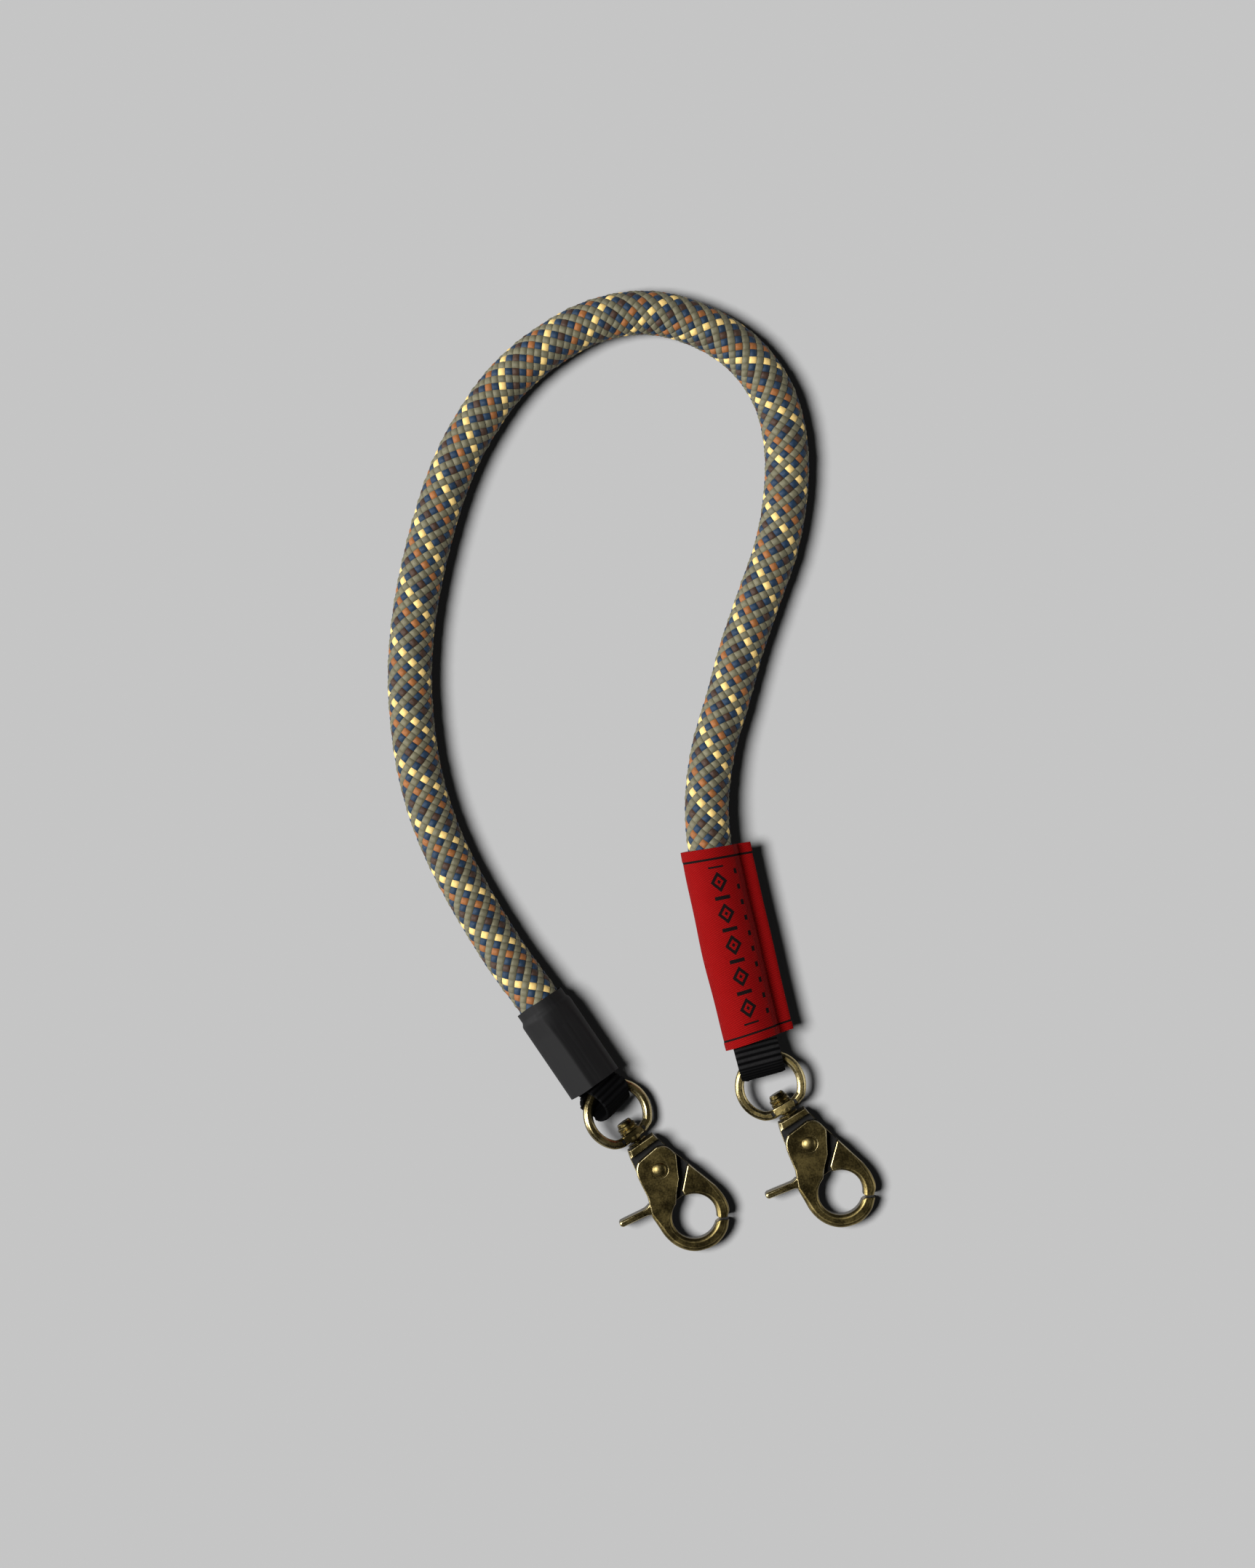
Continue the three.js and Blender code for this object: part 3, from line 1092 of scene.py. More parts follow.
@dataclass
class Studio:
    """A pale floor, soft light from the lower left and a camera straight above."""

    middle: Pair = (-0.94, -3.0)
    view_height: float = 345.0
    lens: float = 200.0
    sensor: float = 36.0
    level: float = 5.0
    floor_size: float = 6000.0
    floor_height: float = -0.02
    sky: float = 0.01
    suns: Sequence[Sun] = (
        Sun("key", 63.0, 184.0, 23.0, 3.25),
        Sun("from_the_left", 13.0, 184.0, 40.0, 3.2, spares_floor=True),
        Sun("from_the_right", 10.0, 5.0, 40.0, 0.6, spares_floor=True),
    )

    def build(self) -> None:
        """Makes the camera, the floor and the lights."""
        self._camera()
        self._lights(self._floor())

    def _camera(self) -> None:
        """A long lens that looks straight down."""
        data = bpy.data.cameras.new("camera")
        data.lens = self.lens
        data.sensor_width = self.sensor
        camera = bpy.data.objects.new("camera", data)
        above = self.view_height * self.lens / self.sensor + self.level
        camera.location = Vector((*self.middle, above)) * MM
        bpy.context.scene.collection.objects.link(camera)
        bpy.context.scene.camera = camera

    def _floor(self) -> bpy.types.Collection:
        """A flat sheet just under the strap.

        Returns:
            The collection that keeps some lights off it.
        """
        half = self.floor_size / 2
        skin = Skin()
        rows = [[Vector((x, y, self.floor_height)) for y in (-half, half)] for x in (-half, half)]
        skin.grid(rows, [[(0.0, 0.0)] * 2] * 2)
        mesh = skin.mesh("floor")
        place_mesh(mesh, Matrix())
        mesh.materials.append(FloorFinish().make())
        floor = show("floor", mesh)
        kept_off = bpy.data.collections.new("floor_alone")
        kept_off.objects.link(floor)
        kept_off.collection_objects[0].light_linking.link_state = "EXCLUDE"
        return kept_off

    def _lights(self, floor: bpy.types.Collection) -> None:
        """The suns and a dim sky.

        Args:
            floor: the collection that keeps some lights off the floor.
        """
        for sun in self.suns:
            sun.shine(floor)
        world = bpy.data.worlds.new("sky")
        world.use_nodes = True
        background = world.node_tree.nodes["Background"]
        background.inputs["Color"].default_value = (1.0, 1.0, 1.0, 1.0)
        background.inputs["Strength"].default_value = self.sky
        bpy.context.scene.world = world
        bpy.context.scene.view_settings.view_transform = "Standard"


# ------------------------ rope


@dataclass
class BraidedRope:
    """The strap's rope: a core tube under two crossing families of twelve yarns, one over, one under.

    Fields:
        route: the middle line from the end in the sleeve to the end in the label.
        lowest: the middle line's height where the rope lies down.
        radius, core_radius, yarn_height: the top of the yarns, the core, and how far a yarn stands out.
        lead: how far along the rope a yarn goes round once; strands: how many yarns go each way.
        sleeve_mouth, hidden, braided: the braid starts that far before the mouth, and its length.
        first_angle: where round the rope the first crossing lies, in degrees.
        twist: how far the braid turns between twist_from and twist_to.
        crowding: how far it slides along between bend_from and bend_to.
        float_length, float_width: a float's size in crossings; ease: how far its rows draw to its ends.
        patch: points along a float and across it.
        uneven, sunk: how far floats differ in height, and how much lower the coloured ones lie.
        uv_size, uv_step: a float's half size on the UV map, and how far each lies from the one before.
        core_sides, core_rows, path_points: how finely the core and a path along the middle line are
            divided.
        seed: of the floats' heights and tones.
    """

    route: Sequence[Point] = (
        (-9.8, -66.4, 6.55), (-14.2, -59.9, 6.55), (-20.4, -50.8, 6.55), (-27.4, -41.2, 5.9),
        (-33.5, -31.5, 5.3), (-39.1, -21.4, 5.0), (-43.7, -10.8, 5.0), (-46.8, 0.4, 5.0),
        (-48.4, 11.7, 5.0), (-48.8, 22.7, 5.0), (-47.6, 35.7, 5.0), (-44.2, 51.7, 5.0),
        (-39.4, 66.3, 5.0), (-34.1, 76.5, 5.0), (-27.3, 85.8, 5.0), (-18.5, 93.3, 5.0),
        (-8.2, 98.8, 5.0), (3.1, 100.7, 5.0), (14.5, 98.0, 5.0), (24.3, 91.9, 5.0),
        (31.1, 82.6, 5.0), (33.9, 71.4, 5.0), (33.7, 59.7, 5.0), (31.6, 48.5, 5.0),
        (27.8, 37.5, 5.0), (24.1, 26.6, 5.0), (21.1, 15.6, 5.1), (17.9, 4.4, 5.7),
        (16.5, -7.2, 6.3), (17.17, -17.1, 6.55), (18.75, -23.9, 6.55), (20.32, -30.7, 6.55),
        (23.47, -44.4, 6.55), (26.26, -56.5, 6.55),
    )
    lowest: float = 5.0
    radius: float = 4.98
    core_radius: float = 4.55
    yarn_height: float = 0.55
    lead: float = 26.07
    strands: int = 12
    sleeve_mouth: Point = (-20.4, -50.8, 6.55)
    hidden: float = 6.43
    braided: float = 337.0
    first_angle: float = 102.5
    twist: float = -26.0
    twist_from: float = 60.0
    twist_to: float = 320.0
    crowding: float = -3.0
    bend_from: float = 155.0
    bend_to: float = 260.0
    float_length: float = 1.16
    float_width: float = 1.05
    ease: Pair = (0.45, 0.8)
    patch: tuple[int, int] = (6, 5)
    uneven: float = 0.04
    sunk: float = 0.06
    uv_size: Pair = (0.9, 0.8)
    uv_step: Pair = (3.7, 1.3)
    core_sides: int = 28
    core_rows: int = 220
    path_points: int = 160
    seed: int = 7

    def middle_line(self) -> list[Vector]:
        """The rope's middle line in millimetres, never lower than where it lies."""
        line = smooth_line(self.route, 12)
        return [Vector((p.x, p.y, max(p.z, self.lowest))) for p in line]

    def build(self) -> list[bpy.types.Object]:
        """Returns:
            The rope.
        """
        line = self.middle_line()
        whole = line_length(line)
        mouth = Vector(self.sleeve_mouth)
        nearest = min(range(len(line)), key=lambda i: (line[i] - mouth).length)
        start = line_length(line[: nearest + 1]) - self.hidden
        sizes = self._sizes(start, whole - start)
        tree, sockets = self._tree(sizes)
        mesh = self._grow(self._carrier(line), tree, {sockets[name]: size for name, size in sizes.items()})
        place_mesh(mesh, Matrix())
        rope = show("rope", mesh)
        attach(rope, "strap")
        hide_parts("braided_rope")
        path = even_line(line, self.path_points)
        [tuple(point * MM) for point in path]
        log.info("rope: %.0f mm long", whole)
        return [rope]

    @staticmethod
    def _carrier(line: Sequence[Vector]) -> bpy.types.Object:
        """The middle line as a curve object.

        Args:
            line: its points.

        Returns:
            The object, in millimetres.
        """
        curve = bpy.data.curves.new("rope_line", "CURVE")
        curve.dimensions = "3D"
        spline = curve.splines.new("POLY")
        spline.points.add(len(line) - 1)
        for point, place in zip(spline.points, line):
            point.co = (*place, 1.0)
        carrier = bpy.data.objects.new("rope_line", curve)
        bpy.context.scene.collection.objects.link(carrier)
        return carrier

    def _sizes(self, start: float, span: float) -> dict[str, float | int]:
        """The tree's inputs.

        Args:
            start: where along the line the braid starts.
            span: how far it could go on.

        Returns:
            The inputs' values by name.
        """
        return {
            "First": start,
            "Rows": int(min(span, self.braided) / (self.lead / (2 * self.strands))),
            "Strands": self.strands,
            "Lead": self.lead,
            "Top Radius": self.radius,
            "Core Radius": self.core_radius,
            "Yarn Height": self.yarn_height,
            "First Angle": self.first_angle,
            "Twist": self.twist,
            "Twist From": self.twist_from,
            "Twist To": self.twist_to,
            "Crowding": self.crowding,
            "Bend From": self.bend_from,
            "Bend To": self.bend_to,
            "Float Length": self.float_length,
            "Float Width": self.float_width,
            "Seed": self.seed,
        }

    @staticmethod
    def _grow(
        carrier: bpy.types.Object, tree: bpy.types.NodeTree, inputs: dict[str, float | int]
    ) -> bpy.types.Mesh:
        """Runs the tree on the middle line.

        Args:
            carrier: the middle line; it is removed.
            tree: the node tree.
            inputs: its inputs' values, by the sockets' identifiers.

        Returns:
            The rope's mesh, in millimetres.
        """
        modifier = carrier.modifiers.new("braid", "NODES")
        modifier.node_group = tree
        for identifier, value in inputs.items():
            modifier[identifier] = value
        mesh = settled(carrier)
        bpy.data.objects.remove(carrier)
        return mesh

    def _tree(self, sizes: dict[str, float | int]) -> tuple[bpy.types.NodeTree, dict[str, str]]:
        """The braid as a node tree.

        A crossing's row gives its place along the rope, and its column the place round it. In even rows
        the yarns that climb to the right lie on top, in odd rows the others.

        Args:
            sizes: its inputs' values by name; whole numbers get integer sockets.

        Returns:
            The tree, and its inputs' identifiers by name.
        """
        tree = bpy.data.node_groups.new("braid", "GeometryNodeTree")
        face = tree.interface
        face.new_socket("Geometry", in_out="INPUT", socket_type="NodeSocketGeometry")
        face.new_socket("Geometry", in_out="OUTPUT", socket_type="NodeSocketGeometry")
        sockets = {}
        for name, value in sizes.items():
            kind = "NodeSocketInt" if isinstance(value, int) else "NodeSocketFloat"
            sockets[name] = face.new_socket(name, in_out="INPUT", socket_type=kind).identifier
        graph = Graph(tree)
        entry = graph.node("NodeGroupInput")
        size = {name: Field(graph, entry.outputs[name]) for name in sizes}
        line = entry.outputs["Geometry"]
        floats = self._floats(graph, line, size)
        core = self._core(graph, line, size)
        both = graph.node("GeometryNodeJoinGeometry")
        for part in (floats, core):
            tree.links.new(part, both.inputs[0])
        graph.node("NodeGroupOutput", {0: both.outputs[0]})
        return tree, sockets

    def _floats(
        self, graph: Graph, line: bpy.types.NodeSocket, size: dict[str, Field]
    ) -> bpy.types.NodeSocket:
        """One domed patch for each place where a yarn lies on top.

        Args:
            graph: the tree under construction.
            line: the rope's middle line.
            size: the tree's inputs.

        Returns:
            The realized patches with their material.
        """
        index = Field(graph, graph.node("GeometryNodeInputIndex").outputs[0])
        points = graph.node("GeometryNodePoints", {"Count": size["Rows"] * size["Strands"]})
        kept = graph.node("GeometryNodeCaptureAttribute", domain="POINT")
        kept.capture_items.new("FLOAT", "Number")
        graph.feed(kept.inputs["Geometry"], points.outputs[0])
        graph.feed(kept.inputs["Number"], index)
        counts = {"Vertices X": self.patch[0], "Vertices Y": self.patch[1]}
        patch = graph.node("GeometryNodeMeshGrid", {"Size X": 2.0, "Size Y": 2.0, **counts})
        local = graph.node("GeometryNodeCaptureAttribute", domain="POINT")
        local.capture_items.new("VECTOR", "Local")
        graph.feed(local.inputs["Geometry"], patch.outputs["Mesh"])
        graph.feed(local.inputs["Local"], graph.node("GeometryNodeInputPosition").outputs[0])
        inputs = {"Points": kept.outputs["Geometry"], "Instance": local.outputs["Geometry"]}
        laid = graph.node("GeometryNodeInstanceOnPoints", inputs).outputs[0]
        patches = graph.node("GeometryNodeRealizeInstances", {0: laid}).outputs[0]

        number = Field(graph, kept.outputs["Number"])
        row = (number / size["Strands"] + 0.0001).apply("FLOOR")
        column = number - row * size["Strands"]
        odd = row % 2.0
        even = odd * -1.0 + 1.0
        raw_p, raw_q, _ = graph.parts(local.outputs["Local"])
        p, q = (raw * (raw * raw * -ease + (1.0 + ease)) for raw, ease in zip((raw_p, raw_q), self.ease))
        along = p * size["Float Length"] * 0.5
        across = q * size["Float Width"] * 0.5
        of_b = along * even - across * odd
        of_a = across * even + along * odd
        half_turn = graph.math("DIVIDE", 180.0, size["Strands"])
        angle = (column * 2.0 + odd + 1.0 + of_a + of_b) * half_turn + size["First Angle"]
        place = (row + of_b - of_a) * size["Lead"] / (size["Strands"] * 2.0) + size["First"]
        share = (place - size["Twist From"]) / (size["Twist To"] - size["Twist From"])
        angle = angle + graph.unit(share) * size["Twist"]
        slide = graph.spread(place, (size["Bend From"], 0.0), (size["Bend To"], size["Crowding"]))
        place = place + slide

        strand_b = (column + (row + odd) / 2.0) % size["Strands"]
        strand_a = column + (odd - row) / 2.0
        coloured = (strand_b % 2.0) * odd
        cycle = ((strand_b - 1.0) / 2.0 + 0.0001).apply("FLOOR") % 3.0
        navy = (strand_a % 2.0 * -1.0 + 1.0) * even
        yarn = navy + coloured * (cycle + 2.0)
        tone = self._random(graph, number + 0.5, size["Seed"], 0.0, 1.0)

        dome = (p.apply("ABSOLUTE").power(4.0) * -1.0 + 1.0).power(0.5)
        cheek = (q.apply("ABSOLUTE").power(4.0) * -1.0 + 1.0).power(0.5)
        lift = self._random(graph, number, size["Seed"], -self.uneven, self.uneven)
        wobble = lift - yarn.apply("SIGN") * self.sunk
        height = dome * cheek * size["Yarn Height"] + wobble * cheek
        reach = size["Top Radius"] - size["Yarn Height"] - self.uneven + height
        patches = self._wrap(graph, line, patches, place, angle, reach)
        uv = graph.vector(*(
            mark * half + number * step for mark, half, step in zip((p, q), self.uv_size, self.uv_step)
        ))
        marks = (
            ("yarn", yarn, "FLOAT", "POINT"),
            ("tone", tone, "FLOAT", "POINT"),
            ("UVMap", uv, "FLOAT2", "CORNER"),
        )
        for name, value, kind, domain in marks:
            inputs = {"Geometry": patches, "Name": name, "Value": value}
            stored = graph.node("GeometryNodeStoreNamedAttribute", inputs, data_type=kind, domain=domain)
            patches = stored.outputs[0]
        patches = graph.node("GeometryNodeFlipFaces", {0: patches}).outputs[0]
        patches = graph.node("GeometryNodeSetShadeSmooth", {0: patches}).outputs[0]
        inputs = {"Geometry": patches, "Material": BraidFinish().make()}
        return graph.node("GeometryNodeSetMaterial", inputs).outputs[0]

    @staticmethod
    def _random(graph: Graph, number: Field, seed: Field, low: float, high: float) -> Field:
        """A random number for each patch.

        Args:
            graph: the tree under construction.
            number: the patch's number, or a half more for another draw, as the ID is doubled.
            seed: the seed.
            low: the least.
            high: the most.

        Returns:
            The number.
        """
        node = graph.node("FunctionNodeRandomValue", data_type="FLOAT")
        named = {socket.name: socket for socket in node.inputs if socket.enabled}
        for key, value in (("Min", low), ("Max", high), ("ID", number * 2.0), ("Seed", seed)):
            graph.feed(named[key], value)
        output = next(socket for socket in node.outputs if socket.enabled)
        return Field(graph, output)

    @staticmethod
    def _wrap(
        graph: Graph, line: bpy.types.NodeSocket, patches: bpy.types.NodeSocket, place: Field, angle: Field,
        reach: Field,
    ) -> bpy.types.NodeSocket:
        """Lays flat patches round the middle line.

        Args:
            graph: the tree under construction.
            line: the rope's middle line.
            patches: what is moved.
            place: how far along the line a point lies.
            angle: degrees from the top towards the right-hand side of the way along.
            reach: its distance from the middle line.

        Returns:
            The moved patches.
        """
        sample = graph.node("GeometryNodeSampleCurve", {"Curves": line, "Length": place}, mode="LENGTH")
        tangent = sample.outputs["Tangent"]
        side = graph.vector_math("CROSS_PRODUCT", tangent, (0.0, 0.0, 1.0))
        side = graph.vector_math("NORMALIZE", side)
        up = graph.vector_math("CROSS_PRODUCT", side, tangent)
        turn = angle * math.radians(1.0)
        rise = graph.scaled(up, turn.apply("COSINE") * reach)
        out = graph.scaled(side, turn.apply("SINE") * reach)
        offset = graph.vector_math("ADD", rise, out)
        place_on = graph.vector_math("ADD", sample.outputs["Position"], offset)
        inputs = {"Geometry": patches, "Position": place_on}
        return graph.node("GeometryNodeSetPosition", inputs).outputs[0]

    def _core(
        self, graph: Graph, line: bpy.types.NodeSocket, size: dict[str, Field]
    ) -> bpy.types.NodeSocket:
        """A closed tube under the yarns, from end to end.

        Args:
            graph: the tree under construction.
            line: the rope's middle line.
            size: the tree's inputs.

        Returns:
            The tube with its material.
        """
        inputs = {"Resolution": self.core_sides, "Radius": size["Core Radius"]}
        ring = graph.node("GeometryNodeCurvePrimitiveCircle", inputs)
        inputs = {"Curve": line, "Count": self.core_rows}
        spaced = graph.node("GeometryNodeResampleCurve", inputs, mode="COUNT")
        inputs = {"Curve": spaced.outputs[0], "Profile Curve": ring.outputs[0], "Fill Caps": True}
        tube = graph.node("GeometryNodeCurveToMesh", inputs).outputs[0]
        tube = graph.node("GeometryNodeSetShadeSmooth", {0: tube}).outputs[0]
        inputs = {"Geometry": tube, "Material": CoreFinish().make()}
        return graph.node("GeometryNodeSetMaterial", inputs).outputs[0]


# ------------------------ sleeve and label


@dataclass
class ShrinkSleeve:
    """The shrink tube on the rope's first end: drawn in at its mouth, with one soft crease along it.

    Fields:
        placement: its frame, with the origin in the middle of its mouth.
        length, radius, bore: its size.
        lip_radius, lip_length, lip_taper: the narrow lip at the mouth and the step up from it.
        crease_angle: where the crease runs, 0 at the right and 90 on top.
        crease_bend: how far it swings aside at the mouth, and how soon that fades.
        facets: from and to, in degrees from the crease, and how flat the tube is there.
        settles: where the flattening starts and how long it takes.
        ridge: the crease's height and its width in degrees.
        ripple: how uneven the lip is.
        ragged: waves round its two ends and their heights; edge_reach: how far they go in.
        sharp: the angle in degrees past which an edge stays sharp.
        rows, sides: how finely it is divided.
    """

    placement: Placement = Placement((-20.4, -50.8, 6.55), -55.8)
    length: float = 22.0
    radius: float = 6.22
    lip_radius: float = 5.72
    lip_length: float = 1.9
    lip_taper: float = 1.1
    bore: float = 5.46
    crease_angle: float = 98.0
    crease_bend: Pair = (26.0, 3.2)
    facets: Sequence[Point] = ((-66.0, 0.0, 0.8), (0.0, 58.0, 0.38))
    settles: Pair = (2.2, 5.0)
    ridge: Pair = (0.05, 4.0)
    ripple: float = 0.035
    ragged: Sequence[Point] = ((2.0, 0.8, 0.10), (5.0, 0.0, 0.05))
    edge_reach: float = 0.8
    sharp: float = 50.0
    rows: int = 56
    sides: int = 96

    def _swell(self, along: float) -> float:
        """How far the tube has opened from its lip to its full width, from 0 to 1."""
        share = unit((along - self.lip_length) / self.lip_taper)
        return share * share * (3 - 2 * share)

    def _radius(self, along: float, angle: float) -> float:
        """The outer radius at a place.

        Args:
            along: millimetres from the mouth.
            angle: degrees round the section, 0 at the right and 90 on top.

        Returns:
            The radius, flattened on both sides of the crease.
        """
        swell = self._swell(along)
        base = self.lip_radius + (self.radius - self.lip_radius) * swell
        flattened = unit((along - self.settles[0]) / self.settles[1])
        crease = self.crease_angle + self.crease_bend[0] * math.exp(-along / self.crease_bend[1])
        radius = base
        for low, high, flatness in self.facets:
            start, end = crease + low, crease + high
            if start < angle < end:
                half = math.radians((end - start) / 2)
                chord = base * math.cos(half) / math.cos(math.radians(angle - (start + end) / 2))
                radius = base + (chord - base) * flatness * flattened
        away = abs((angle - crease + 180.0) % 360.0 - 180.0)
        ridge = self.ridge[0] * flattened * math.exp(-((away / self.ridge[1]) ** 2))
        ripple = self.ripple * math.sin(math.radians(3.0 * angle) + 0.5 * along) * (1.0 - swell)
        return radius + ridge + ripple

    def build(self) -> list[bpy.types.Object]:
        """Makes the sleeve.

        Returns:
            The sleeve.
        """
        skin = Skin()
        outer, inner, marks = [], [], []
        for row in range(self.rows + 1):
            along = self.length * row / self.rows
            outer_row, inner_row, mark_row = [], [], []
            for side in range(self.sides):
                angle = 360.0 * side / self.sides
                turn = math.radians(angle)
                ragged = sum(high * math.sin(waves * turn + first) for waves, first, high in self.ragged)
                near_mouth = math.exp(-along / self.edge_reach)
                near_end = math.exp((along - self.length) / self.edge_reach)
                edge = ragged * (near_mouth - 0.7 * near_end)
                across, height = math.cos(turn), math.sin(turn)
                radius = self._radius(along, angle)
                outer_row.append(Vector((along + edge, radius * across, radius * height)))
                inner_row.append(Vector((along + edge, self.bore * across, self.bore * height)))
                mark_row.append((along, self.radius * turn))
            outer.append(outer_row)
            inner.append(inner_row)
            marks.append(mark_row)
        round_by = math.tau * self.radius
        outside = skin.grid(outer, marks, round_by)
        inside = skin.grid(inner, marks, round_by)
        skin.bridge(outside[0], inside[0], (0.0, 0.0))
        skin.bridge(outside[-1], inside[-1], (self.length, 0.0))
        sleeve = skin.piece("sleeve", self.sharp, self.placement, ShrinkFinish().make())
        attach(sleeve, "strap")
        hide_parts("shrink_sleeve")
        return [sleeve]


@dataclass
class WovenLabel:
    """The red label: one piece of twill wrapped round the rope and sewn to itself along a flat seam.

    Fields:
        placement: its frame, with the origin in the middle of the end where the rope goes in.
        length, radius, cloth: its size, and how thick the tape and its lining are.
        seam_reach, seam_width, seam_half: how far the seam stands out, its width and half its thickness.
        leave_angle: where the cloth leaves the round for the seam, in degrees from the right.
        foot_gap, pulls: where the seam's foot ends, and how far the curve up from it reaches.
        seam_edge, lip_turns: how round the seam's edge is, and the angles of its points.
        bow: how far the left side bows out halfway along.
        hem, hems: how much thicker the folded ends are and how long; hem_step: the step up to them.
        sag: how uneven the cloth lies.
        lean: how far the two ends are skewed, for each millimetre across.
        lowest: how far down the cloth may reach, where it lies on the floor.
        sharp: the angle in degrees past which an edge stays sharp.
        rows, round_steps, curve_steps: how finely it is divided.
    """

    placement: Placement = Placement((17.17, -17.1, 6.55), -77.0)
    length: float = 43.6
    radius: float = 6.42
    cloth: float = 0.75
    seam_reach: float = 8.85
    seam_width: float = 2.25
    seam_half: float = 0.62
    leave_angle: float = 44.0
    foot_gap: float = 0.55
    pulls: Pair = (0.75, 1.4)
    seam_edge: float = 0.12
    lip_turns: Sequence[float] = (0.0, 0.6, 1.1, math.pi / 2)
    bow: float = 0.5
    hem: float = 0.12
    hems: Pair = (2.15, 1.75)
    hem_step: float = 0.25
    sag: float = 0.07
    lean: Pair = (0.066, -0.10)
    lowest: float = -6.5
    sharp: float = 60.0
    rows: int = 110
    round_steps: int = 84
    curve_steps: int = 10

    def _section(self) -> list[Vector]:
        """The closed outer outline across the label: y to the right and z up.

        Returns:
            Points from the seam's upper edge over the top, round and back under the seam.
        """
        edge, half = self.seam_reach, self.seam_half
        valley = edge - self.seam_width
        leave = math.radians(self.leave_angle)
        start = (self.radius * math.cos(leave), self.radius * math.sin(leave))
        foot = (valley - self.foot_gap, half + 0.05)
        near_foot = (foot[0] - self.pulls[0], foot[1] + 0.1)
        pull = self.pulls[1]
        near_start = (start[0] + math.sin(leave) * pull, start[1] - math.cos(leave) * pull)
        rise = bezier((foot, near_foot, near_start, start), self.curve_steps)
        round_off, turns = self.seam_edge, self.lip_turns
        lip = [(edge - round_off * (1 - math.cos(turn)), half * math.sin(turn)) for turn in turns]
        upper = [Vector(point) for point in (*lip, (edge - 0.8, half + 0.02), (valley, half))] + rise
        arc = []
        for step in range(1, self.round_steps):
            turn = leave + (math.tau - 2 * leave) * step / self.round_steps
            arc.append(Vector((self.radius * math.cos(turn), self.radius * math.sin(turn))))
        lower = [Vector((point.x, -point.y)) for point in reversed(upper[1:])]
        return [*upper, *arc, *lower]

    def _hem(self, along: float) -> float:
        """How much thicker the cloth is where its ends are folded under."""
        into_hems = (self.hems[0] - along, along - (self.length - self.hems[1]))
        return self.hem * max(unit(into / self.hem_step + 0.5) for into in into_hems)

    def _places(self, point: Vector, along: float) -> tuple[Vector, Vector]:
        """Where a point of the section lies at a place along the label.

        Args:
            point: the point of the section.
            along: millimetres from the first hem.

        Returns:
            The place on the cloth, and the one below it on the lining.
        """
        share = along / self.length
        angle = math.atan2(point.y, point.x)
        left = max(0.0, -math.cos(angle)) ** 2
        bowed = self.bow * left * math.sin(math.pi * share)
        sag = self.sag * math.sin(0.34 * along + 2.0 * angle) * min(1.0, left + 0.4)
        push = 1.0 + (bowed + self._hem(along) + sag) / point.length
        skewed = along + (self.lean[0] * (1 - share) + self.lean[1] * share) * point.x
        bore = self.radius - self.cloth
        return (Vector((skewed, point.x * push, max(point.y * push, self.lowest))),
                Vector((skewed, bore * math.cos(angle), bore * math.sin(angle))))

    def build(self) -> list[bpy.types.Object]:
        """Returns:
            The label.
        """
        section = self._section()
        spans = [(b - a).length for a, b in zip(section, [*section[1:], section[0]])]
        over = [sum(spans[:count]) for count in range(len(spans) + 1)]
        passed = over[-1]
        skin = Skin()
        outer, inner, marks = [], [], []
        for row in range(self.rows + 1):
            along = self.length * row / self.rows
            places = [self._places(point, along) for point in section]
            outer.append([place for place, _ in places])
            inner.append([place for _, place in places])
            marks.append([(along, across) for across in over[:-1]])
        outside = skin.grid(outer, marks, passed)
        inside = skin.grid(inner, marks, passed)
        skin.bridge(outside[0], inside[0], (0.3, 0.0))
        skin.bridge(outside[-1], inside[-1], (0.3, 0.0))
        label = skin.piece("label", self.sharp, self.placement, LabelFinish(length=self.length).make())
        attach(label, "strap")
        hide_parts("woven_label")
        log.info("label: cut %.1f by %.1f mm", passed, self.length)
        return [label]


# ------------------------ webbing


class Side(Enum):
    """The strap's two ends, named as they lie."""

    LEFT = "left"
    RIGHT = "right"


@dataclass(frozen=True)
class HookEnd:
    """Where the hook and its ring lie at one end of the strap."""

    side: Side
    hook: Placement
    swivel: Pair = (-15.1, -0.45)
    eye_roll: float = 0.0

    def eye(self) -> Placement:
        """The ring's own frame: its middle, with +X towards the hook."""
        middle = self.hook.matrix() @ Vector((*self.swivel, 0.0))
        return Placement(tuple(middle), self.hook.yaw, self.hook.pitch, self.eye_roll)


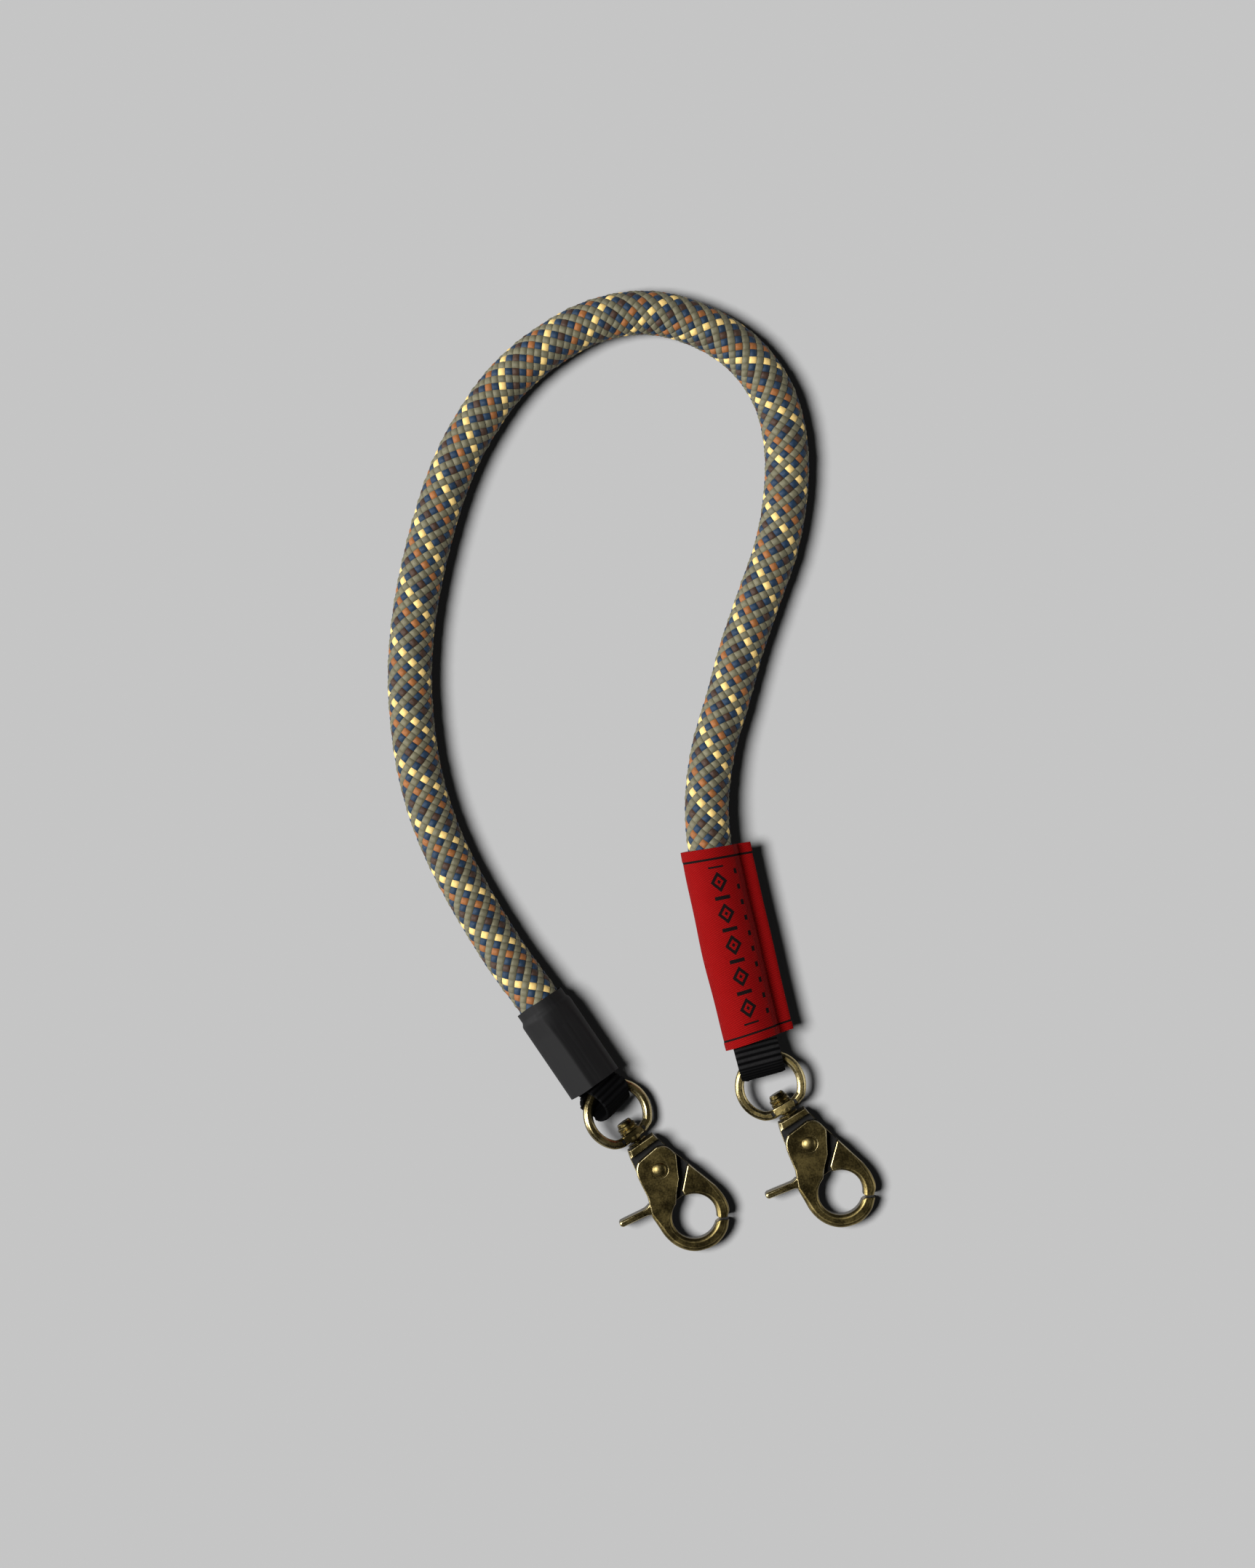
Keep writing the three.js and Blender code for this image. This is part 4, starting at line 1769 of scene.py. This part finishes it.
@dataclass
class WebbingLoop:
    """A short loop of ribbed webbing that comes out of the strap's end and holds the hook's ring.

    Fields:
        end: whose ring it holds.
        placement: its frame, with the origin in the middle of the strap's end.
        width, length, thick: its size; insert: how far its ends go in.
        mouth, depth: half the gap between its two sides where they come out, and how far the fold swells.
        wire_room, ring_radius: the room that the ring's wire needs, and the ring's radius.
        pitches, rib_heights: of the coarse ribs near the strap and the fine ones round the fold.
        coarse_reach, rib_blend: where the first give way to the second, and over what length.
        rib_level: the share of a rib that lies inside the strip.
        edge_thinning: how much thinner the selvedges are.
        underside: where the underside starts on the UV map.
        painted_ridge_light: the painted light on the ridges' tops.
        sharp: the angle in degrees past which an edge stays sharp.
        steps, columns, curve_steps: how finely it is divided.
    """

    end: HookEnd
    placement: Placement
    width: float
    length: float
    mouth: float
    depth: float
    thick: float = 1.0
    insert: float = 2.5
    wire_room: float = 1.62
    ring_radius: float = 6.85
    pitches: Pair = (1.28, 0.56)
    coarse_reach: float = 5.2
    rib_blend: float = 0.8
    rib_heights: Pair = (0.34, 0.09)
    rib_level: float = 0.7
    edge_thinning: float = 0.45
    underside: float = 20.0
    # painted light on the tops of the ribs
    painted_ridge_light: Colour = (0.0175, 0.0170, 0.0175)
    sharp: float = 60.0
    steps: int = 190
    columns: int = 14
    curve_steps: int = 40

    def _line(self) -> list[Vector]:
        """The loop's middle line in its side view.

        Returns:
            Points from inside the end piece, round the fold and back.
        """
        reach = self.length - self.thick / 2
        shoulder = 0.35 * reach
        corners = ((0, self.mouth), (shoulder, self.depth), (reach, self.depth), (reach, 0))
        over = bezier([(x, 0, z) for x, z in corners], self.curve_steps)
        under = bezier([(x, 0, -z) for x, z in reversed(corners)], self.curve_steps)
        start, back = Vector((-self.insert, 0, self.mouth)), Vector((-self.insert, 0, -self.mouth))
        return even_line([start, *over, *under[1:], back], self.steps + 1)

    def _rib(self, along: float, whole: float) -> float:
        """Height of the ribs, in millimetres.

        Args:
            along: place on the strip.
            whole: the strip's length.

        Returns:
            Coarse ribs next to the end piece and fine ones round the fold.
        """
        from_mouth = min(along, whole - along) - self.insert
        coarse, fine = (
            height * (abs(math.sin(math.pi * from_mouth / pitch)) - self.rib_level)
            for height, pitch in zip(self.rib_heights, self.pitches)
        )
        share = unit((from_mouth - self.coarse_reach) / self.rib_blend + 0.5)
        return coarse * (1 - share) + fine * share

    def build(self) -> list[bpy.types.Object]:
        """Makes the loop, pushed clear of the ring's wire.

        Returns:
            The loop.
        """
        line = self._line()
        whole = line_length(line)
        into_ring = self.end.eye().matrix().inverted() @ self.placement.matrix()
        out_of_ring = into_ring.inverted()
        sheet = []
        for point in line:
            places = [Vector((point.x, self.width * (column / self.columns - 0.5), point.z))
                      for column in range(self.columns + 1)]
            sheet.append([self._clear(place, into_ring, out_of_ring) for place in places])
        skin = Skin()
        rings, marks = [], []
        for index, row in enumerate(sheet):
            before, after = sheet[max(index - 1, 0)], sheet[min(index + 1, len(sheet) - 1)]
            along = whole * index / self.steps
            rib = self._rib(along, whole)
            top, bottom, top_marks, bottom_marks = [], [], [], []
            for column, place in enumerate(row):
                tangent = after[column] - before[column]
                sideways = row[min(column + 1, self.columns)] - row[max(column - 1, 0)]
                normal = sideways.cross(tangent).normalized()
                share = abs(column / self.columns - 0.5) * 2
                half = self.thick / 2 * (1 - self.edge_thinning * share ** 10)
                top.append(place - normal * (half + rib))
                bottom.append(place + normal * half)
                over = self.width * column / self.columns
                top_marks.append((over, along))
                bottom_marks.append((over + self.underside, along))
            rings.append([*top, *reversed(bottom)])
            marks.append([*top_marks, *reversed(bottom_marks)])
        numbers = skin.grid(rings, marks, round_by=0.001)
        skin.cap(numbers[0])
        skin.cap(numbers[-1])
        finish = WebbingFinish(whole, self.insert, self.pitches, self.coarse_reach, self.painted_ridge_light)
        loop = skin.piece(f"webbing_{self.end.side.value}", self.sharp, self.placement, finish.make())
        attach(loop, "strap")
        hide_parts(f"webbing_loop_{self.end.side.value}")
        return [loop]

    def _clear(self, place: Vector, into_ring: Matrix, out_of_ring: Matrix) -> Vector:
        """Moves a point of the strip out of the room that the ring's wire needs.

        Args:
            place: the point in the loop's frame.
            into_ring: from the loop's frame to the ring's.
            out_of_ring: from the ring's frame back to the loop's.

        Returns:
            The point, moved straight away from the wire where it was too near.
        """
        seen = into_ring @ place
        flat = Vector((seen.x, seen.y, 0.0))
        if flat.length < TINY:
            return place
        nearest = flat.normalized() * self.ring_radius
        away = seen - nearest
        if away.length >= self.wire_room or away.length < TINY:
            return place
        return out_of_ring @ (nearest + away.normalized() * self.wire_room)


# ------------------------ rings and hooks


@dataclass
class SwivelRing:
    """The ring between the webbing and the hook: a bent bevelled bar whose straight side holds the stud.

    Fields:
        end: whose ring it is.
        radius, straight: of its middle line, and how far off the straight side lies.
        bend, side_ends: the bent part's first and last angles and step, and points along the side.
        section, corner: the bar's section, sideways and up, and how far its corners are cut.
        block, block_outline: the block on the straight side: from and to, and a quarter of its outline.
        boss: the round face that the hook turns against: distance along the stud and radius.
        pocket, pocket_floor: the notch beside the block, whose faces get painted shade, and the height of
            its floor.
        pocket, pocket_floor: the notch beside the block, and the height of its floor.
        rounding, outer_rounding, inner_rounding: of the block's edges, towards the hook and away.
        steps, sides: how finely it is divided.
    """

    end: HookEnd
    radius: float = 6.85
    straight: float = 5.7
    bend: tuple[int, int, int] = (42, 322, 6)
    side_ends: Sequence[float] = (-3.1, -1.5, 0.0, 1.5, 3.1)
    section: Sequence[Pair] = (
        (1.0, 0.50), (0.42, 0.98), (-0.42, 0.98), (-1.0, 0.50),
        (-1.0, -0.50), (-0.42, -0.98), (0.42, -0.98), (1.0, -0.50),
    )
    corner: float = 0.1
    block: Pair = (4.76, 6.62)
    block_outline: Sequence[Pair] = ((-2.5, 0.0), (-2.48, 0.6), (-2.3, 0.96), (-1.3, 1.1), (0.0, 1.14))
    boss: Sequence[Pair] = (
        (5.9, 0.0), (5.9, 1.5), (6.55, 1.5), (6.85, 1.4), (7.05, 1.15), (7.15, 0.7), (7.15, 0.0)
    )
    bore: float = 0.85
    pocket: Sequence[Pair] = ((5.22, 2.5), (6.2, 2.5), (6.2, 3.2), (5.22, 3.2))
    pocket_floor: float = 0.74
    rounding: float = 0.5
    outer_rounding: float = 0.3
    inner_rounding: float = 0.18
    steps: int = 132
    sides: int = 32

    def _path(self) -> list[Vector]:
        """The bar's middle line.

        Returns:
            Most of a circle, closed by a straight side towards the hook.
        """
        turns = (math.radians(angle) for angle in range(*self.bend))
        bent = [(self.radius * math.cos(turn), self.radius * math.sin(turn)) for turn in turns]
        side = [(self.straight, y) for y in self.side_ends]
        per_span = 6
        line = smooth_line([side[-1], *bent, *side, bent[0]], per_span)[per_span:-per_span]
        return even_line([Vector((*point, 0.0)) for point in line], self.steps + 1)[:-1]

    def _bar(self) -> bpy.types.Mesh:
        """The bent bar, its eight long edges slightly rounded.

        Returns:
            The closed mesh, in millimetres.
        """
        corners = [Vector(point) for point in self.section]
        profile = []
        for index, here in enumerate(corners):
            for beside in (corners[index - 1], corners[(index + 1) % len(corners)]):
                profile.append(here + (beside - here).normalized() * self.corner)
        path = self._path()
        rows = []
        for index, place in enumerate(path):
            tangent = (path[(index + 1) % len(path)] - path[index - 1]).normalized()
            out = tangent.cross(Vector((0.0, 0.0, 1.0)))
            rows.append([place + out * point.x + Vector((0.0, 0.0, point.y)) for point in profile])
        rows.append([point.copy() for point in rows[0]])
        skin = Skin()
        skin.grid(rows, [[(0.0, 0.0)] * len(profile)] * len(rows), round_by=1.0)
        return skin.mesh("bar")

    def _block(self) -> bpy.types.Mesh:
        """The thick middle of the straight side, crowned on top and below.

        Returns:
            The closed mesh, in millimetres.
        """
        half = list(self.block_outline)
        top = [*half, *((-y, z) for y, z in reversed(half[:-1]))]
        whole = [*top, *((y, -z) for y, z in reversed(top[1:-1]))]
        mesh = prism("block", whole, *self.block)
        mesh.transform(Matrix(((0, 0, 1, 0), (1, 0, 0, 0), (0, 1, 0, 0), (0, 0, 0, 1))))
        return mesh

    def _edge(self, place: Vector) -> float:
        """How far the edges of the block's two faces are rounded; the bar keeps its own bevels.

        Args:
            place: the middle of an edge.

        Returns:
            The width of its rounding, in millimetres.
        """
        off_face = min(abs(place.x - face) for face in self.block)
        if abs(place.y) > 2.4 or off_face > 0.02:
            return 0.0
        return self.outer_rounding if place.x > self.straight else self.inner_rounding

    @staticmethod
    def _on_corner(face: bpy.types.MeshPolygon) -> bool:
        """Whether a face is one of the bar's narrow rounded edges."""
        slope = abs(face.normal.z)
        return abs(face.center.z) < 1.02 and (0.1 < slope < 0.5 or 0.75 < slope < 0.985)

    def build(self) -> list[bpy.types.Object]:
        """Makes the ring.

        Returns:
            The ring.
        """
        metals = Brass.metals()
        start, end = self.block[0] - 1.0, self.block[1] + 1.0
        hole = turned("bore", ((start, 0.0), (start, self.bore), (end, self.bore), (end, 0.0)), self.sides)
        body = Casting(self._bar(), metals)
        body.add(self._block()).add(turned("boss", self.boss, self.sides)).cut(hole)
        body.paint_faces(Brass.SATIN, lambda face: True).paint_faces(Brass.RUBBED, self._on_corner)
        for side in (1, -1):
            for low, high in ((self.pocket_floor, 2.0), (-2.0, -self.pocket_floor)):
                pocket = prism("pocket", [(x, y * side) for x, y in self.pocket][::side], low, high)
                # painted shade: the pockets' faces carry the near-black brass into the notches they cut
                for face in pocket.polygons:
                    face.material_index = Brass.SHADED.slot
                body.cut(pocket)
        body.round_edges(self._edge, self.rounding)
        name = f"ring_{self.end.side.value}"
        ring = cast_piece(name, [body.finish()], self.end.eye().matrix(), metals)
        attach(ring, "strap")
        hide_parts(f"eye_{self.end.side.value}")
        return [ring]


@dataclass
class ScissorHook:
    """A scissor hook: a milled frame with the fixed jaw, a sprung trigger jaw, and their rivet.

    Its frame has the origin at the rivet, +X to the tip and +Y to the fixed jaw.

    Fields:
        end: where the hook lies.
        half: half its thickness.
        frame_top: the height of the recess's floor; plate_bottom: of the trigger plate's underside.
        plate_reach, plate_edge: how far round the rivet the plate's room and the frame's edge reach.
        mouth, mouth_radius: the jaws' opening.
        rivet_bore, seat, seat_depth: the rivet's hole and the round seat that its head stands in.
        tip, split, split_end, split_half: where the jaws meet: the tips' middle, a line along the two
            faces, and how far off it they lie.
        full_rounding, fine_rounding: of the jaws' edges and of the plates', with grows_over the stretch
            where one becomes the other; wide_from: where the roundings are full.
        stud: its profile, distance along the hook and radius.
        dome, foot: the rivet's head (height of its seat, radius, rise) and its foot behind (distance,
            radius, thickness); shank: its radius.
        lever_root, lever_tip, lever_half, lever_depth: the bar that the thumb pulls.
    """

    end: HookEnd
    half: float = 2.5
    frame_top: float = -0.2
    plate_bottom: float = 0.1
    plate_reach: float = 8.2
    plate_edge: float = 7.6
    mouth: Pair = (12.95, 0.42)
    mouth_radius: float = 4.97
    rivet_bore: float = 1.22
    seat: float = 1.95
    seat_depth: float = 0.16
    tip: Pair = (16.9, 5.1)
    split: Pair = (16.35, 4.0)
    split_end: Pair = (17.6, 6.25)
    split_half: float = 0.32
    full_rounding: float = 0.92
    fine_rounding: float = 0.26
    grows_over: Pair = (7.0, 4.5)
    wide_from: float = 8.6
    stud: Sequence[Pair] = (
        (-13.05, 0.0), (-13.05, 1.5), (-12.9, 1.66), (-12.24, 1.84), (-12.12, 1.74), (-12.1, 2.0),
        (-11.98, 2.14), (-11.5, 2.18), (-11.4, 2.06), (-11.3, 1.84), (-11.2, 2.08), (-11.08, 2.22),
        (-10.62, 2.24), (-10.5, 2.12), (-10.5, 0.75), (-7.85, 0.75), (-7.85, 2.15), (-7.75, 2.25),
        (-7.6, 2.25), (-7.5, 2.15), (-7.5, 1.3), (-6.5, 1.3), (-6.5, 0.0),
    )
    dome: Point = (2.4, 1.6, 0.72)
    foot: Point = (2.65, 1.7, 0.35)
    shank: float = 0.95
    lever_root: Pair = (6.4, -6.3)
    lever_tip: Pair = (5.1, -14.1)
    lever_half: float = 0.75
    lever_depth: float = 2.1

    def _frame_outline(self) -> Outline:
        """The frame as seen from above.

        Returns:
            The closed outline.
        """
        start = math.degrees(math.asin(-5.3 / self.plate_edge))
        end = math.degrees(math.asin(-1.0 / self.plate_edge))
        outline = Outline((-7.2, -3.35), (-5.4, -3.9), (-1.1, -4.7), (3.0, -5.0))
        outline.arc((0.0, 0.0), self.plate_edge, start, end)
        outline.arc(self.mouth, self.mouth_radius, 191.0, 48.7)
        outline.to((17.3, 6.35)).curve((16.0, 7.65), (13.2, 8.3), (10.3, 8.1))
        return outline.to((2.85, 6.0), (-0.2, 5.05), (-5.8, 3.6), (-7.2, 3.35))

    def _recess_outline(self) -> Outline:
        """The part of the frame that is milled down, where the trigger's plate lies."""
        outline = Outline((-5.45, -9.0), (12.0, -9.0), (12.0, -0.5), (8.9, 1.0), (6.8, 1.4))
        return outline.to((2.85, 5.5), (2.5, 7.0), (-5.75, 7.0))

    def _trigger_outline(self) -> Outline:
        """The trigger jaw as seen from above.

        Returns:
            The closed outline.
        """
        outline = Outline((-3.95, -2.95)).curve((-3.05, -3.95), (-1.6, -4.72), (0.0, -5.1))
        outline.to((3.55, -5.6), (5.8, -6.5), (7.8, -7.3))
        outline.curve(
            (10.3, -7.35), (12.9, -7.4), (15.5, -6.85), (17.8, -5.6), (19.65, -3.6), (20.7, -0.65),
            (20.75, 1.6), (19.75, 4.35), (17.95, 6.3),
        )
        outline.arc(self.mouth, self.mouth_radius, 44.5, -159.0)
        outline.to((6.6, 0.0), (4.2, 2.35), (-0.5, 4.85))
        return outline.curve((-2.2, 4.6), (-3.6, 3.85), (-4.5, 2.35))

    def _edge_width(self, place: Vector) -> float:
        """How far edges are rounded: finely on the plates, fully round the jaws.

        Args:
            place: the middle of an edge.

        Returns:
            The width of its rounding, in millimetres.
        """
        away = (place.xy - Vector(self.mouth)).length
        to_tip = (place.xy - Vector(self.tip)).length
        if to_tip < 1.6 and abs(away - 6.4) < 1.35 and self._on_split(place):
            return 0.12
        if place.y < -7.6 and place.x < 7.4:
            return 0.5
        if place.xy.length < 2.4:
            return 0.08
        grown = unit((place.x - self.grows_over[0]) / self.grows_over[1])
        return self.fine_rounding + (self.full_rounding - self.fine_rounding) * grown

    def _on_split(self, place: Vector) -> bool:
        """Whether a place lies on one of the two faces where the jaws meet."""
        toward = (Vector(self.split_end) - Vector(self.split)).normalized()
        return abs((place.xy - Vector(self.split)).cross(toward)) < self.split_half

    def _stud(self) -> bpy.types.Mesh:
        """The stud that the ring turns on, with its washer and head.

        Returns:
            The closed mesh, in millimetres.
        """
        stud = turned("stud", self.stud)
        for face in stud.polygons:
            if 0.35 < abs(face.normal.x) < 0.95:
                face.material_index = Brass.RUBBED.slot
        stud.transform(Matrix.Translation((0.0, self.end.swivel[1], 0.0)))
        return stud

    def _frame(self) -> list[bpy.types.Mesh]:
        """The frame with its fixed jaw, and its stud.

        Returns:
            The closed meshes, in millimetres.
        """
        plan = self._frame_outline().points
        body = Casting(prism("frame", plan, -self.half, self.half), Brass.metals())
        body.cut(prism("recess", self._recess_outline().points, self.frame_top, self.half + 1))
        body.cut(upright("bore", self.rivet_bore, -self.half - 1, self.half + 1))
        # painted shade: the recess floor gets the near-black brass
        body.paint_faces(Brass.SHADED, self._in_recess)
        body.round_edges(self._frame_edge, self.full_rounding, 4)
        body.paint_faces(Brass.SATIN, self._on_wide_edge)
        return [body.finish(), self._stud()]

    def _in_recess(self, face: bpy.types.MeshPolygon) -> bool:
        """Whether a face is the recess's floor."""
        return face.normal.z > 0.9 and abs(face.center.z - self.frame_top) < 0.05

    def _on_wide_edge(self, face: bpy.types.MeshPolygon) -> bool:
        """Whether a face belongs to the jaws' full rounding, which is duller than the narrow edges."""
        return face.material_index == Brass.RUBBED.slot and face.center.x > self.wide_from

    def _frame_edge(self, place: Vector) -> float:
        """How far the frame's edges are rounded.

        Args:
            place: the middle of an edge.

        Returns:
            The width of its rounding, in millimetres.
        """
        if abs(place.z) < self.half - 0.1 and place.x < 8.0:
            return 0.12
        if place.x < -5.9 and place.y < -3.2:
            return 0.75
        return self._edge_width(place)

    def _trigger(self) -> list[bpy.types.Mesh]:
        """The trigger jaw with its lever.

        Returns:
            Its closed mesh, in millimetres.
        """
        plan = self._trigger_outline().points
        body = Casting(prism("trigger", plan, -self.half, self.half), Brass.metals())
        body.add(self._lever())
        body.cut(upright("room", self.plate_reach, -self.half - 1, self.plate_bottom, 96))
        body.cut(upright("seat", self.seat, self.half - self.seat_depth, self.half + 1))
        body.cut(upright("bore", self.rivet_bore, -self.half - 1, self.half + 1))
        body.round_edges(self._edge_width, self.full_rounding, 4)
        body.paint_faces(Brass.SATIN, self._on_wide_edge)
        return [body.finish()]

    def _lever(self) -> bpy.types.Mesh:
        """The bar that the thumb pulls, flared where it leaves the jaw.

        Returns:
            The closed mesh, in millimetres.
        """
        root, tip, half = Vector(self.lever_root), Vector(self.lever_tip), self.lever_half
        along = tip - root
        end = along.length - half
        bar = Outline((-0.7, -2.3)).curve((0.35, -1.2), (1.3, -0.82), (2.4, -half))
        bar.to((end, -half)).arc((end, 0.0), half, -90.0, 90.0)
        bar.to((2.4, half)).curve((1.3, 0.82), (0.35, 1.2), (-0.7, 2.3))
        mesh = prism("lever", bar.points, -self.lever_depth, self.lever_depth)
        turn = Matrix.Rotation(math.atan2(along.y, along.x), 4, "Z")
        mesh.transform(Matrix.Translation((*root, 0.0)) @ turn)
        return mesh

    def _rivet(self) -> list[bpy.types.Mesh]:
        """The rivet: a domed head, its shank, and a low foot behind.

        Returns:
            Its closed mesh, in millimetres.
        """
        seat, head, rise = self.dome
        back, radius, thick = self.foot
        turns = [math.radians(angle) for angle in range(0, 90, 10)]
        dome = [(seat + rise * math.sin(turn), head * math.cos(turn)) for turn in turns]
        end = -back - thick
        base = [(end, 0.0), (end, radius - 0.25), (end + 0.15, radius), (-back, radius)]
        shank = [(-back, self.shank), (seat, self.shank)]
        rivet = turned("rivet", (*base, *shank, *dome, (seat + rise, 0.0)))
        rivet.transform(Matrix.Rotation(math.radians(-90.0), 4, "Y"))
        return [rivet]

    def build(self) -> list[bpy.types.Object]:
        """Makes the frame, the trigger and the rivet.

        Returns:
            The three pieces.
        """
        metals = Brass.metals()
        side = self.end.side.value
        matrix = self.end.hook.matrix()
        plan = (
            ("hook_frame", "frame", self._frame, metals),
            ("trigger_jaw", "trigger", self._trigger, metals),
            ("rivet", "frame", self._rivet, [metals[-1], *metals[1:]]),
        )
        pieces = []
        for node, body, make, finish in plan:
            piece = cast_piece(f"{node.split('_')[-1]}_piece_{side}", make(), matrix, finish)
            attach(piece, f"{body}_{side}")
            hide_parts(f"{node}_{side}")
            pieces.append(piece)
        return pieces


# ------------------------ the strap


LEFT_END = HookEnd(Side.LEFT, Placement((5.94, -87.64, 4.28), -54.8, 5.0), eye_roll=-18.0)
RIGHT_END = HookEnd(Side.RIGHT, Placement((38.78, -81.93, 4.28), -58.4, 5.0))


def main() -> None:
    """Builds the studio and then the strap, end to end, and reports each piece."""
    Studio().build()
    left_place = Placement((-7.9, -69.0, 6.5), -51.0, 5.0, -42.0)
    right_place = Placement((27.1, -60.0, 6.5), -75.0, 5.0)
    # painted light on the left loop's ribs, dimmer because the lamps light that loop more strongly
    dimmer_ridge_light = (0.0050, 0.0050, 0.0055)
    parts = [
        BraidedRope(),
        ShrinkSleeve(),
        WovenLabel(),
        WebbingLoop(LEFT_END, left_place, width=9.0, length=7.4, mouth=1.45, depth=3.5, painted_ridge_light=dimmer_ridge_light),
        WebbingLoop(RIGHT_END, right_place, width=9.9, length=7.6, mouth=0.85, depth=3.1),
    ]
    for end in (LEFT_END, RIGHT_END):
        parts += [SwivelRing(end), ScissorHook(end)]
    for part in parts:
        for piece in part.build():
            piece.visible_diffuse = False  # so that no piece tints the floor or its shadow
            log.info("%s: %d faces", piece.name, len(piece.data.polygons))


if __name__ == "__main__":
    main()
